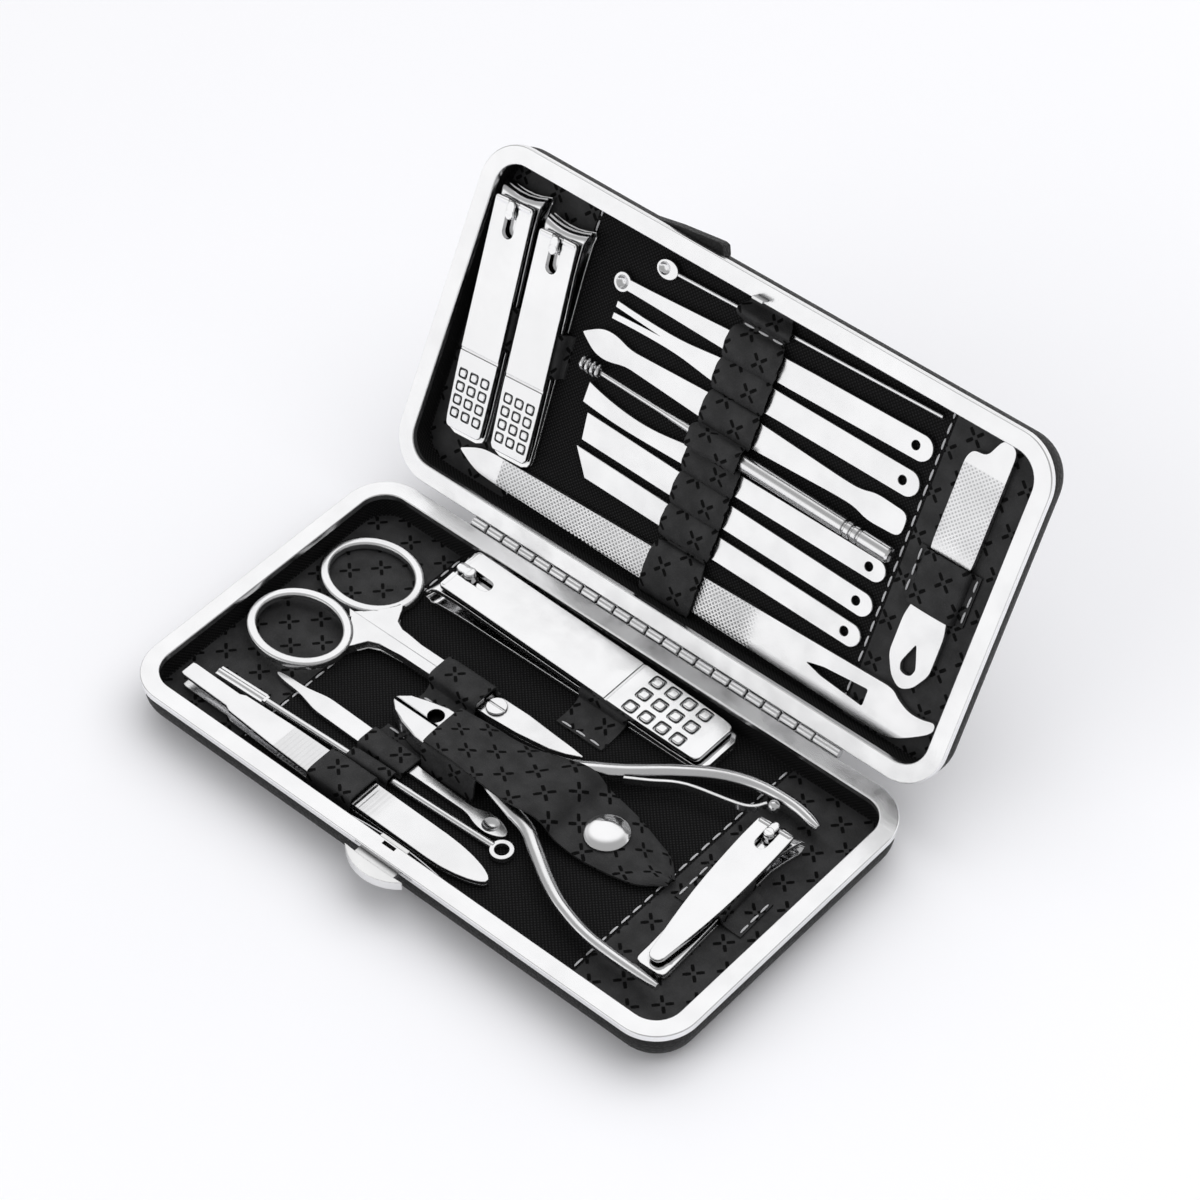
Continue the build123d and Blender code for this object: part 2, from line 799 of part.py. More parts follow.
def scissors_half(side, low, high, ring_low):
    """side +1 has its ring at +Y. low and high are the layer that it keeps at the joint."""
    width = scissors_shank_width
    ring_end = -scissors_pivot_reach + scissors_ring_length
    shank_stop = -scissors_shank_width - 0.5
    shank = polygon(
        [
            (ring_end - 3.2, side * leaf_gap * 2),
            (shank_stop, side * leaf_gap * 2),
            (shank_stop, side * width),
            (ring_end + 4, side * width),
            (ring_end + 0.4, side * (width + 2.2)),
            (ring_end - 0.6, side * (scissors_ring_width / 2 - 0.5)),
            (ring_end - 1.6, side * (scissors_ring_width / 2 - 0.5)),
            (ring_end - 3.2, side * (width + 0.5)),
        ]
    )
    tip = scissors_tip_reach
    blade = polygon([(0, width), (tip * 0.6, width - 0.6), (tip, 1.9), (tip, 1.4), (tip * 0.7, -1.5), (0, -width)])
    half = plate(shank, low, low + scissors_wire)
    half += Pos(0, 0, (low + high) / 2) * Cylinder(width, high - low)
    root = [(shank_stop - 3, 0), (0, 0), (0, side * width), (shank_stop - 3, side * width)]
    half += plate(polygon(root), low, high)
    half += plate(blade, low, high)
    half += ring(side, ring_low)
    hole = Cylinder(scissors_screw_radius + pin_gap, 20)
    return half - hole


def scissors_screw(high):
    shaft = Pos(0, 0, (high + 0.1) / 2) * Cylinder(scissors_screw_radius, high - 0.1)
    head = Pos(0, 0, high + leaf_gap + 0.3) * Cylinder(2 * scissors_screw_radius, 0.6)
    neck = Pos(0, 0, high) * Cylinder(scissors_screw_radius, 0.4)
    slot = Pos(0, 0, high + leaf_gap + 0.6) * Box(6, 0.5, 0.5)
    return shaft + neck + head - slot


# ---------------------------------------------------------------- nippers, beak tip at the origin
nipper_thick = 2 * nipper_layer + leaf_gap
upper_course = [(0.0, 0.0), (0.16, 0.17), (0.31, 0.39), (0.41, 0.54), (0.518, 0.733), (0.634, 0.9), (0.75, 0.985)]
upper_course += [(0.88, 1.0), (0.98, 0.955)]
lower_course = [(0.0, 0.0), (0.16, 0.175), (0.27, 0.28), (0.34, 0.35), (0.42, 0.52), (0.52, 0.73), (0.62, 0.88)]
lower_course += [(0.76, 0.985), (1.0, 1.0)]
nipper_upper_spread = 35.2
nipper_lower_spread = -21.2


def handle_line(course, spread):
    return [(nipper_pivot_reach + x * nipper_handle_reach, y * spread) for x, y in course]


def nipper_half(side, low):
    """side +1 is the half whose handle lies at +Y; its jaw is then the one at -Y."""
    jaw_end = nipper_pivot_reach - nipper_joint_radius - 0.9
    half = nipper_head_width / 2
    outline = [
        (0, -side * leaf_gap),
        (0.4, -side * 0.9),
        (0.4 * jaw_end, -side * 0.72 * half),
        (0.75 * jaw_end, -side * 0.97 * half),
        (jaw_end, -side * half),
        (jaw_end, -side * leaf_gap),
    ]
    jaw = plate(polygon(outline), 0, nipper_thick)
    bridge = polygon(
        [
            (jaw_end - 2, -side * leaf_gap),
            (nipper_pivot_reach, -side * leaf_gap),
            (nipper_pivot_reach, -side * nipper_joint_radius),
            (jaw_end - 2, -side * half),
        ]
    )
    jaw += plate(bridge, low, low + nipper_layer)
    if side < 0:
        jaw -= Pos(0.72 * jaw_end, 1.8, nipper_thick) * Cylinder(2.2, nipper_layer)
        pivot = Pos(nipper_pivot_reach, 0, 0)
        jaw = pivot * Rot(0, 0, -nipper_close) * pivot.inverse() * jaw
    spread = nipper_upper_spread if side > 0 else nipper_lower_spread
    course = upper_course if side > 0 else lower_course
    line = handle_line(course, spread)
    face = ribbon(line, nipper_handle_width + 1.2, nipper_handle_width)
    joint = Pos(nipper_pivot_reach, 0, low + nipper_layer / 2) * Cylinder(nipper_joint_radius, nipper_layer)
    root_reach = nipper_joint_radius + 5
    root = plate(face, low, low + nipper_layer)
    root &= Pos(nipper_pivot_reach, 0, 0) * Cylinder(root_reach, 4 * nipper_thick)
    high = nipper_handle_rise + nipper_handle_thickness
    handle = plate(face, nipper_handle_rise, high)
    handle -= Pos(nipper_pivot_reach, 0, 0) * Cylinder(nipper_joint_radius + 1.2, 4 * nipper_thick)
    solid = jaw + joint + root + handle
    if side < 0:
        solid += Pos(line[-1][0] - 6.0, line[-1][1] - 1.9, (nipper_handle_rise + high) / 2) * Sphere(1.1)
    return solid - Pos(nipper_pivot_reach, 0, 0) * Cylinder(nipper_rivet_radius + pin_gap, 40)


def nipper_rivet():
    body = Pos(nipper_pivot_reach, 0, (nipper_thick + 0.3) / 2) * Cylinder(nipper_rivet_radius, nipper_thick + 0.3)
    return fillet(body.edges().group_by(Axis.Z)[-1], 0.25)


def nipper_spring():
    """A leaf that follows the upper handle on its inside and ends in a ball by the handle's tip."""
    run = handle_line(upper_course, nipper_upper_spread)
    start, middle, later, last = run[3], run[5], run[6], run[7]
    points = [
        (start[0] + 1.3, start[1] - 2.4),
        (start[0] + 6.0, start[1] + 0.6),
        (middle[0] - 3.6, middle[1] - 7.6),
        (later[0] + 1.0, later[1] - 7.0),
        (last[0] - 5.2, last[1] - 3.8),
    ]
    low = nipper_handle_rise + 0.2
    leaf = plate(ribbon(points, nipper_spring_sheet, nipper_spring_sheet), low, low + nipper_spring_height)
    ball = Pos(last[0] - 3.8, last[1] - 3.1, low + nipper_spring_height / 2) * Sphere(nipper_ball_radius)
    return leaf + ball


# ---------------------------------------------------------------- tweezers, tips at the origin
tweezer_run = tweezer_length - tweezer_joint
tweezer_angle = degrees(atan2(tweezer_spread, tweezer_run))


def tweezer_blank(low):
    half = tweezer_width / 2
    tip = tweezer_tip_width / 2
    shoulder = tweezer_tip_length
    points = [
        (0, tip - 1.2),
        (0.8, tip),
        (shoulder, tip + 0.3),
        (shoulder + 9, half - 0.8),
        (0.4 * tweezer_length, half),
        (tweezer_length - 12, half),
        (tweezer_length - 4, half - 1.5),
        (tweezer_length - 0.6, 0.8),
    ]
    return plate(polygon(mirrored(points)), low, low + tweezer_sheet)


def tweezer_lower_arm():
    return tweezer_blank(0)


def tweezer_upper_arm():
    low = tweezer_sheet + leaf_gap
    blank = tweezer_blank(low)
    cut = Pos(tweezer_run + 50, 0, low) * Box(100, 40, 20)
    arm = blank - cut
    joined = blank & cut
    hinge = Pos(tweezer_run, 0, low)
    arm = hinge * Rot(0, tweezer_angle, 0) * hinge.inverse() * arm
    return arm + joined


# ---------------------------------------------------------------- pick and ring rod
def spoon_pick():
    half = pick_width / 2
    neck = pick_neck / 2
    points = [
        (0, 0.35),
        (3, neck),
        (8, neck + 0.2),
        (0.2 * pick_length, half - 0.1),
        (0.4 * pick_length, half - 0.1),
        (0.62 * pick_length, neck + 0.5),
        (pick_length - 11, neck + 0.1),
        (pick_length - 7.5, half - 0.3),
        (pick_length - 4, half),
        (pick_length - 1.2, half - 1.0),
        (pick_length, 0.5),
    ]
    body = plate(polygon(mirrored(points)), 0, pick_sheet)
    cup = Pos(pick_length - 4.6, 0, pick_sheet + 2.2) * Sphere(3.0)
    return body - cup


def ring_rod():
    height = rod_radius
    shaft = Pos(rod_length / 2, 0, height) * Rot(0, 90, 0) * Cylinder(rod_radius, rod_length)
    flat = Pos(7, 0, height) * Box(14, 2.6, 1.2)
    collar = Pos(14.4, 0, height) * Rot(0, 90, 0) * Cylinder(rod_radius + 0.35, 0.8)
    collar &= Pos(14.4, 0, height) * Box(4, 4, 2 * rod_radius)
    eye_x = rod_length + rod_ring_radius - 0.4
    eye = Pos(eye_x, 0, height) * Cylinder(rod_ring_radius, 1.5)
    eye -= Pos(eye_x, 0, height) * Cylinder(rod_ring_radius - 1.0, 4)
    return shaft + flat + collar + eye


# ---------------------------------------------------------------- thin tools, handle end at the origin
def blade(width, upper, lower):
    """A blank with a round holed end, whose two edges run out along the given points."""
    half = width / 2
    high = [(half, half)] + upper
    low = [(half, -half)] + lower
    end = ThreePointArc(low[0], (0, 0), high[0])
    low.reverse()
    face = make_face([end, Spline(*high), Line(high[-1], low[0]), Spline(*low)])
    hole = Pos(thin_hole_inset, 0, 0) * Circle(thin_hole_radius)
    return plate(face - hole, 0, thin_sheet)


def both_sides(points):
    return points, [(x, -y) for x, y in points]


def ear_pick(width):
    reach = thin_length - 15.5
    wire = Pos((reach + 1) / 2, 0, 0.6) * Rot(0, 90, 0) * Cylinder(0.55, reach - 1)
    head = plate(Pos(reach, 0, 0) * Ellipse(2.9, width / 2), 0, thin_sheet)
    return wire + head - Pos(reach + 0.8, 0, thin_sheet + 1.1) * Sphere(1.9)


def cup_extractor(width):
    half = width / 2
    upper, lower = both_sides([(20, half), (42, half - 0.1), (60, half - 0.8), (78, 1.5), (thin_length - 7, 1.3)])
    body = blade(width, upper, lower)
    cup_x = thin_length - 5.5
    cup = Pos(cup_x, 0, thin_sheet / 2) * Cylinder(2.3, thin_sheet)
    return body + cup - Pos(cup_x, 0, thin_sheet + 1.0) * Sphere(1.9)


def fork_trimmer(width):
    half = width / 2
    reach = thin_length - 6
    upper, lower = both_sides([(20, half), (44, half + 0.1), (56, half), (66, 1.9), (74, 1.7), (reach, 2.2)])
    body = blade(width, upper, lower)
    notch = polygon([(reach - 13, 0), (reach + 1, 0.75), (reach + 1, -0.75)])
    return body - plate(notch, -1, 2)


def leaf_pusher(width):
    half = width / 2
    points = [
        (0, half - 0.4),
        (9, half),
        (13, 2.1),
        (18, 2.1),
        (42, half - 0.1),
        (56, half - 0.2),
        (79, 2.0),
        (thin_length - 8.5, half + 0.1),
        (thin_length - 4.5, half - 0.2),
        (thin_length, 0.2),
    ]
    return plate(polygon(mirrored(points)), 0, thin_sheet)


def coil_extractor(width):
    radius = width / 2
    barrel_length = 44.0
    height = radius
    solid = Pos(barrel_length / 2, 0, height) * Rot(0, 90, 0) * Cylinder(radius, barrel_length)
    for at in (8.5, 10.5, 12.5):
        groove = Cylinder(radius + 1, 0.6) - Cylinder(radius - 0.35, 0.6)
        solid -= Pos(at, 0, height) * Rot(0, 90, 0) * groove
    reach = thin_length - 7
    cone = Pos(barrel_length + 9, 0, height) * Rot(0, 90, 0) * Cone(radius * 0.8, 0.8, 18)
    wire = Pos((barrel_length + reach) / 2, 0, height) * Rot(0, 90, 0) * Cylinder(0.8, reach - barrel_length)
    solid += cone + wire
    for index in range(4):
        turn = Pos(reach - 0.6 + index * 1.5, 0, height) * Rot(0, 90, 0) * Cylinder(1.6, 0.9)
        solid += turn
    core = Pos(reach + 2, 0, height) * Rot(0, 90, 0) * Cylinder(0.9, 5.5)
    return solid + core


def curved_knife(width):
    half = width / 2
    reach = thin_length - 6
    upper = [(20, half), (44, half), (56, half), (72, half + 0.3), (reach, half - 0.4)]
    lower = [(20, -half), (44, -half), (52, -half), (66, -half + 1.7), (80, -half + 1.1), (reach, -half - 0.2)]
    return blade(width, upper, lower)


def straight_knife(width):
    half = width / 2
    reach = thin_length - 9
    upper = [(20, half), (44, half + 0.3), (60, half + 0.4), (reach, half + 0.5)]
    lower = [(20, -half), (44, -half - 0.2), (60, -half - 0.3), (reach + 1, -half - 0.4)]
    return blade(width, upper, lower)


def angled_knife(width):
    half = width / 2
    reach = thin_length - 9
    upper = [(20, half), (44, half + 0.2), (60, half + 0.3), (reach - 4, half + 0.3)]
    lower = [(20, -half), (44, -half - 0.2), (60, -half - 0.3), (reach + 1, -half - 0.3)]
    return blade(width, upper, lower)


def nail_file():
    tip = file_tip_width / 2
    wide = file_end_width / 2
    tail = file_length
    points = [
        (0, -0.3),
        (0, 0.3),
        (5.5, tip - 0.4),
        (10, tip),
        (tail - 12.5, wide),
        (tail - 10.4, wide - 1.6),
        (tail - 7.0, wide - 3.0),
        (tail - 3.4, wide - 2.9),
        (tail, wide - 1.8),
        (tail + 0.2, wide - 4.4),
        (tail - 3.6, wide - 7.4),
        (tail - 7.6, wide - 10.0),
        (tail - 10.6, -wide),
        (tail - 16.5, -wide),
        (10, -tip),
        (5.5, -tip + 0.4),
    ]
    body = plate(polygon(points), 0, file_sheet)
    cut = polygon([(tail - 34.5, 0), (tail - 18, 2.1), (tail - 18, -2.1)])
    return body - plate(cut, -1, file_sheet + 1)


def multi_tool():
    half = multi_width / 2
    end = multi_length
    points = [
        (0.8, half - 4.4),
        (0, half - 3.0),
        (0.6, half - 0.8),
        (2.2, half),
        (0.47 * end, half),
        (0.56 * end, half - 1.2),
        (0.68 * end, half - 1.0),
        (0.75 * end, half),
        (end - 6, half),
        (end - 1.6, half - 2.4),
        (end, 0.8),
        (end, -0.8),
        (end - 1.6, -half + 2.4),
        (end - 6, -half),
        (0.75 * end, -half),
        (0.68 * end, -half + 1.0),
        (0.56 * end, -half + 1.2),
        (0.47 * end, -half),
        (7.6, -half),
        (5.4, -half + 1.2),
        (5.2, -half + 4.6),
    ]
    body = plate(polygon(points), 0, multi_sheet)
    drop = Pos(end - 5.4, 0, 0) * Circle(2.0) + polygon([(end - 5.6, 2.0), (end - 5.6, -2.0), (end - 10.8, 0)])
    return body - plate(drop, -1, multi_sheet + 1)


# ---------------------------------------------------------------- where the tools lie
left_x = -half_length + wall_gap
large_y = half_width - wall_gap - large_clipper.jaw_width / 2
scissors_y = large_y - large_clipper.jaw_width / 2 - scissors_row_gap - scissors_shank_width
nipper_y = scissors_y - scissors_shank_width - nipper_row_gap - nipper_head_width / 2
pick_y = nipper_y - nipper_head_width / 2 - pick_row_gap - pick_width / 2
rod_y = pick_y - pick_width / 2 - rod_row_gap - rod_radius
tweezer_y = rod_y - rod_radius - tweezer_row_gap - tweezer_width / 2

scissors_place = laid(left_x + scissors_pivot_reach, scissors_y, 0)
large_place = laid(left_x + scissors_ring_length + clipper_ring_gap, large_y, 0)
nipper_place = laid(-half_length + nipper_tip_from_wall, nipper_y, 0)
pick_place = laid(left_x + 17.4, pick_y, -1.2)
rod_place = laid(left_x + 7.0, rod_y - 1.5, 2.1)
tweezer_place = laid(left_x + 3.6, tweezer_y, 0.4)
slim_x = half_length - slim_clipper_wall - slim_clipper.jaw_width / 2
slim_place = laid(slim_x, half_width - slim_clipper_far, -90 + slim_clipper_slant)

first_clipper_x = -half_length + wall_gap + lid_clipper_a.jaw_width / 2
second_clipper_x = first_clipper_x + lid_clipper_a.jaw_width + lid_clipper_gap
lid_heading = -90 + lid_clipper_slant
clipper_a_place = laid(first_clipper_x, half_width - 5.1, lid_heading)
clipper_b_place = laid(second_clipper_x, half_width - 7.1, lid_heading)
thin_x = second_clipper_x + lid_clipper_b.jaw_width / 2 + slant_shift + thin_clipper_gap + thin_length
multi_x = thin_x + multi_gap + multi_width / 2
multi_place = laid(multi_x, half_width - multi_far_gap, -90)

thin_place = {}
row_y = half_width
for name, tool in thin_tools.items():
    row_y -= tool["gap"] + tool["width"] / 2
    thin_place[name] = laid(thin_x, row_y, 180 + tool["tilt"])
    row_y -= tool["width"] / 2
file_y = row_y - file_gap - file_end_width / 2
file_place = laid(-half_length + 10.2, file_y - 0.8, 0.33)

# ---------------------------------------------------------------- loops in place
def placed(place, arches):
    outside, hollow = arches
    return place * outside, place * hollow


def base_tool_loops():
    scissors_high = scissors_layer + leaf_gap + scissors_wire
    return sewn(
        [
            placed(
                scissors_place * Pos(scissors_loop_at, 0, 0),
                arch(loop_width, 2 * scissors_shank_width, scissors_high),
            ),
            placed(pick_place * Pos(pick_loop_at, 0, 0), arch(loop_width, pick_width - 0.4, pick_sheet)),
            placed(rod_place * Pos(rod_loop_at, 0, 0), arch(12.0, 2 * rod_radius, 2 * rod_radius)),
            placed(
                tweezer_place * Pos(tweezer_loop_at, 0, 0),
                arch(13.0, tweezer_width, 2 * tweezer_sheet + 0.6 * tweezer_spread),
            ),
            placed(large_place, clipper_arch(large_clipper, large_loop_at, loop_width)),
            placed(slim_place, clipper_arch(slim_clipper, slim_loop_at, 12.0)),
            placed(
                nipper_place * Pos(nipper_pivot_reach + 2.0, 0, 0),
                arch(sleeve_length, nipper_head_width + 1.8, 2 * nipper_layer + 0.45),
            ),
        ]
    )


def lid_tool_loops():
    band = [
        placed(
            thin_place[name] * Pos(thin_length - band_reach, 0, 0),
            arch(band_width, tool["held"], tool["high"]),
        )
        for name, tool in thin_tools.items()
    ]
    band.append(placed(file_place * Pos(file_band_at, 0, 0), arch(band_width, 8.8, file_sheet)))
    return sewn(band) + sewn(
        [
            placed(clipper_a_place, clipper_arch(lid_clipper_a, clipper_a_loop_at, narrow_loop_width)),
            placed(clipper_b_place, clipper_arch(lid_clipper_b, clipper_b_loop_at, narrow_loop_width)),
            placed(multi_place * Pos(multi_loop_at, 0, 0), arch(13.0, multi_width, multi_sheet)),
        ]
    )


# ---------------------------------------------------------------- the named pieces
def clipper_nodes(name, clipper):
    return {
        name + "_lower_leaf": clipper.lower_leaf(),
        name + "_upper_leaf": clipper.upper_leaf(),
        name + "_pin": clipper.pin(),
        name + "_lever": clipper.lever(),
    }


def at_place(place, nodes):
    return {name: place * solid for name, solid in nodes.items()}


makers = {
    "ear_pick": ear_pick,
    "cup_extractor": cup_extractor,
    "fork_trimmer": fork_trimmer,
    "leaf_pusher": leaf_pusher,
    "coil_extractor": coil_extractor,
    "curved_knife": curved_knife,
    "straight_knife": straight_knife,
    "angled_knife": angled_knife,
}


def base_nodes():
    nodes = {"base_" + name: solid for name, solid in tray_parts(True).items()}
    nodes["hinge_base_leaf"] = hinge_half(1, 0)
    nodes["hinge_pin"] = hinge_pin()
    nodes["latch_button"] = latch_button()
    nodes["latch_spring"] = latch_spring()
    nodes["base_tool_loops"] = base_tool_loops()
    nodes.update(at_place(nipper_place, {"strap": strap(), "snap_cap": snap_cap(), "snap_stud": snap_stud()}))
    upper_layer = scissors_layer + leaf_gap
    scissors = {
        "scissors_half_a": scissors_half(1, 0, scissors_layer, 0),
        "scissors_half_b": scissors_half(-1, upper_layer, upper_layer + scissors_layer, 2.05),
        "scissors_screw": scissors_screw(upper_layer + scissors_layer),
    }
    nodes.update(at_place(scissors_place, scissors))
    nippers = {
        "nipper_half_a": nipper_half(1, 0),
        "nipper_half_b": nipper_half(-1, nipper_layer + leaf_gap),
        "nipper_rivet": nipper_rivet(),
        "nipper_spring": nipper_spring(),
    }
    nodes.update(at_place(nipper_place, nippers))
    tweezers = {"tweezer_lower_arm": tweezer_lower_arm(), "tweezer_upper_arm": tweezer_upper_arm()}
    nodes.update(at_place(tweezer_place, tweezers))
    nodes["spoon_pick"] = pick_place * spoon_pick()
    nodes["ring_rod"] = rod_place * ring_rod()
    nodes.update(at_place(large_place, clipper_nodes("large_clipper", large_clipper)))
    nodes.update(at_place(slim_place, clipper_nodes("slim_clipper", slim_clipper)))
    return nodes


def lid_nodes():
    nodes = {"lid_" + name: solid for name, solid in tray_parts(False).items()}
    nodes["hinge_lid_leaf"] = hinge_half(-1, 1)
    nodes["catch_hook"] = catch_hook()
    nodes["catch_boss"] = catch_boss()
    nodes["lid_tool_loops"] = lid_tool_loops()
    nodes.update(at_place(clipper_a_place, clipper_nodes("lid_clipper_a", lid_clipper_a)))
    nodes.update(at_place(clipper_b_place, clipper_nodes("lid_clipper_b", lid_clipper_b)))
    for name, maker in makers.items():
        nodes[name] = thin_place[name] * maker(thin_tools[name]["width"])
    nodes["nail_file"] = file_place * nail_file()
    nodes["multi_tool"] = multi_place * multi_tool()
    return {name: in_lid(solid) for name, solid in nodes.items()}


if __name__ == "__main__":
    os.makedirs("parts", exist_ok=True)
    for node, solid in {**base_nodes(), **lid_nodes()}.items():
        solid.label = node
        export_step(solid, f"parts/{node}.step")
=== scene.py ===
import json
import math

import bmesh
import bpy
from mathutils import Euler, Matrix, Vector, noise

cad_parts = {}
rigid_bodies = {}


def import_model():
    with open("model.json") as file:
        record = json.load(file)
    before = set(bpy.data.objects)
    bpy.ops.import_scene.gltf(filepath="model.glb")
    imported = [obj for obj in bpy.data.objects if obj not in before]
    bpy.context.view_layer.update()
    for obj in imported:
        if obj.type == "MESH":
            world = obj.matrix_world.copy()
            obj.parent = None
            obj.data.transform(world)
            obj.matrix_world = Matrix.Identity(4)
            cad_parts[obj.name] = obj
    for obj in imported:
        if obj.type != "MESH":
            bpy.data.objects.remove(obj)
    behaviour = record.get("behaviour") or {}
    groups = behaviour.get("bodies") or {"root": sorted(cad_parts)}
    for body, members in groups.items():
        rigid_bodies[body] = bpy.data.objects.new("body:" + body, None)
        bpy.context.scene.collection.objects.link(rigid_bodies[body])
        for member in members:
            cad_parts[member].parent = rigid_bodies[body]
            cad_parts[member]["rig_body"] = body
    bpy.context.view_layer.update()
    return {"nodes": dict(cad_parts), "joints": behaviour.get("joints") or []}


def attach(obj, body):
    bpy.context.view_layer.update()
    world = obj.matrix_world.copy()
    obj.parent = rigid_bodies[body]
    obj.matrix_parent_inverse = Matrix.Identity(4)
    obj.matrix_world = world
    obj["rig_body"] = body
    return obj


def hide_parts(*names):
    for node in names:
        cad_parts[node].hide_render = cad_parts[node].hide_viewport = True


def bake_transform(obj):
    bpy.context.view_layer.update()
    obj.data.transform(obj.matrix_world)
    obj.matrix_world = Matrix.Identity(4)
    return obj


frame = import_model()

scene = bpy.context.scene
joints = {joint["name"]: joint for joint in frame["joints"]}
print("frame loaded")

# Both trays share one frame in millimetres: X along the case, Y across it, Z up from the underside.
# The lid's own copy of that frame hangs on the hinge axis.
case = {
    "halfLength": 79.96,
    "halfWidth": 42.5,
    "corner": 11.0,
    "bottom": 8.0,  # radius between the sides and the underside
    "floor": 4.5,
    "rest": 4.65,  # the tools lie at this level
    "skinTop": 11.22,
    "steps": 12,
}
hingeAt = Vector(joints["lid_hinge"]["pos_m"])
openAngle = -joints["lid_hinge"]["range_deg"][0]
scaleDown = Matrix.Scale(0.001, 4)
trays = {
    "base": {"place": scaleDown, "body": "case_base"},
    "lid": {
        "place": Matrix.Translation(hingeAt)
        @ Matrix.Rotation(math.radians(180 - openAngle), 4, "X")
        @ Matrix.Translation((0, hingeAt.y, -hingeAt.z))
        @ scaleDown,
        "body": "case_lid",
    },
}


def shift(x=0.0, y=0.0, z=0.0):
    return Matrix.Translation((x, y, z))


def turned(degrees, axis="Z"):
    return Matrix.Rotation(math.radians(degrees), 4, axis)


def placeOn(tray, x, y, degrees):
    return trays[tray]["place"] @ shift(x, y, case["rest"]) @ turned(degrees)


# node helpers
def addNode(tree, kind, links=(), **settings):
    node = tree.nodes.new(kind)
    for key, value in settings.items():
        setattr(node, key, value)
    for socket, value in links:
        if isinstance(value, bpy.types.NodeSocket):
            tree.links.new(value, node.inputs[socket])
        else:
            node.inputs[socket].default_value = value
    return node


def calc(tree, operation, first, second=0.0, third=None):
    links = [(0, first), (1, second)]
    if third is not None:
        links.append((2, third))
    return addNode(tree, "ShaderNodeMath", links, operation=operation).outputs[0]


def ramp(tree, value, low, high, toLow=0.0, toHigh=1.0):
    links = [(0, value), (1, low), (2, high), (3, toLow), (4, toHigh)]
    return addNode(tree, "ShaderNodeMapRange", links, interpolation_type="SMOOTHSTEP").outputs[0]


def blendColour(tree, factor, first, second):
    links = [(0, factor), (6, first), (7, second)]
    return addNode(tree, "ShaderNodeMix", links, data_type="RGBA").outputs[2]


def speckle(tree, vector, scale, detail=2.0, roughness=0.5):
    links = [("Vector", vector), ("Scale", scale), ("Detail", detail), ("Roughness", roughness)]
    return addNode(tree, "ShaderNodeTexNoise", links).outputs[0]


def splitUp(tree, vector):
    return addNode(tree, "ShaderNodeSeparateXYZ", [(0, vector)]).outputs


def bumpOf(tree, height, strength, distance=0.0003, normal=None):
    links = [("Height", height), ("Strength", strength), ("Distance", distance)]
    if normal is not None:
        links.append(("Normal", normal))
    return addNode(tree, "ShaderNodeBump", links).outputs[0]


def startGroup(name, inputs, outputs):
    tree = bpy.data.node_groups.new(name, "ShaderNodeTree")
    for label, kind, value in inputs:
        socket = tree.interface.new_socket(name=label, in_out="INPUT", socket_type=kind)
        if value is not None:
            socket.default_value = value
    for label, kind in outputs:
        tree.interface.new_socket(name=label, in_out="OUTPUT", socket_type=kind)
    return tree, tree.nodes.new("NodeGroupInput").outputs, tree.nodes.new("NodeGroupOutput").inputs


def useGroup(tree, group, links=()):
    return addNode(tree, "ShaderNodeGroup", links, node_tree=group).outputs


def startMaterial(name):
    material = bpy.data.materials.new(name)
    material.use_nodes = True
    return material, material.node_tree, material.node_tree.nodes["Principled BSDF"].inputs


# shared effects
def makePebbleGrain():
    tree, given, made = startGroup(
        "pebbleGrain",
        [("Vector", "NodeSocketVector", None), ("Scale", "NodeSocketFloat", 1.6)],
        [("Height", "NodeSocketFloat"), ("Mottle", "NodeSocketFloat")],
    )
    links = [("Vector", given[0]), ("Scale", given[1])]
    pores = addNode(tree, "ShaderNodeTexVoronoi", links, feature="DISTANCE_TO_EDGE").outputs["Distance"]
    dome = ramp(tree, pores, 0.0, 0.22)
    fine = speckle(tree, given[0], calc(tree, "MULTIPLY", given[1], 4.0), 3.0)
    tree.links.new(calc(tree, "MULTIPLY_ADD", fine, 0.3, dome), made[0])
    tree.links.new(speckle(tree, given[0], calc(tree, "MULTIPLY", given[1], 0.12), 3.0), made[1])
    return tree


def makeCrossMotif():
    tree, given, made = startGroup(
        "crossMotif",
        [("Vector", "NodeSocketVector", None), ("Pitch", "NodeSocketFloat", 7.3)],
        [("Mask", "NodeSocketFloat")],
    )
    links = [("Vector", given[0]), ("Angle", math.radians(43))]
    slanted = addNode(tree, "ShaderNodeVectorRotate", links).outputs[0]
    arms = []
    for value in splitUp(tree, slanted)[:2]:
        share = calc(tree, "FRACT", calc(tree, "DIVIDE", value, given[1]))
        arms.append(calc(tree, "ABSOLUTE", calc(tree, "SUBTRACT", share, 0.5)))
    reach = calc(tree, "MAXIMUM", *arms)
    width = calc(tree, "MINIMUM", *arms)
    away = calc(tree, "ABSOLUTE", calc(tree, "SUBTRACT", reach, 0.2))
    petal = calc(tree, "SUBTRACT", calc(tree, "MULTIPLY_ADD", away, -0.1, 0.06), width)
    mask = calc(tree, "MULTIPLY", ramp(tree, petal, -0.012, 0.012), ramp(tree, away, 0.135, 0.115))
    tree.links.new(mask, made[0])
    return tree


def makeWeave():
    tree, given, made = startGroup(
        "wovenGrid",
        [("Vector", "NodeSocketVector", None), ("Pitch", "NodeSocketFloat", 0.9)],
        [("Height", "NodeSocketFloat"), ("Fleck", "NodeSocketFloat")],
    )
    turns = calc(tree, "DIVIDE", math.tau, given[1])
    along = [calc(tree, "MULTIPLY", value, turns) for value in splitUp(tree, given[0])[:2]]
    waves = [calc(tree, "SINE", value) for value in along]
    height = calc(tree, "MULTIPLY", *waves)
    rough = speckle(tree, given[0], 3.0, 3.0, 0.7)
    tree.links.new(calc(tree, "MULTIPLY_ADD", rough, 0.8, height), made[0])
    tree.links.new(rough, made[1])
    return tree


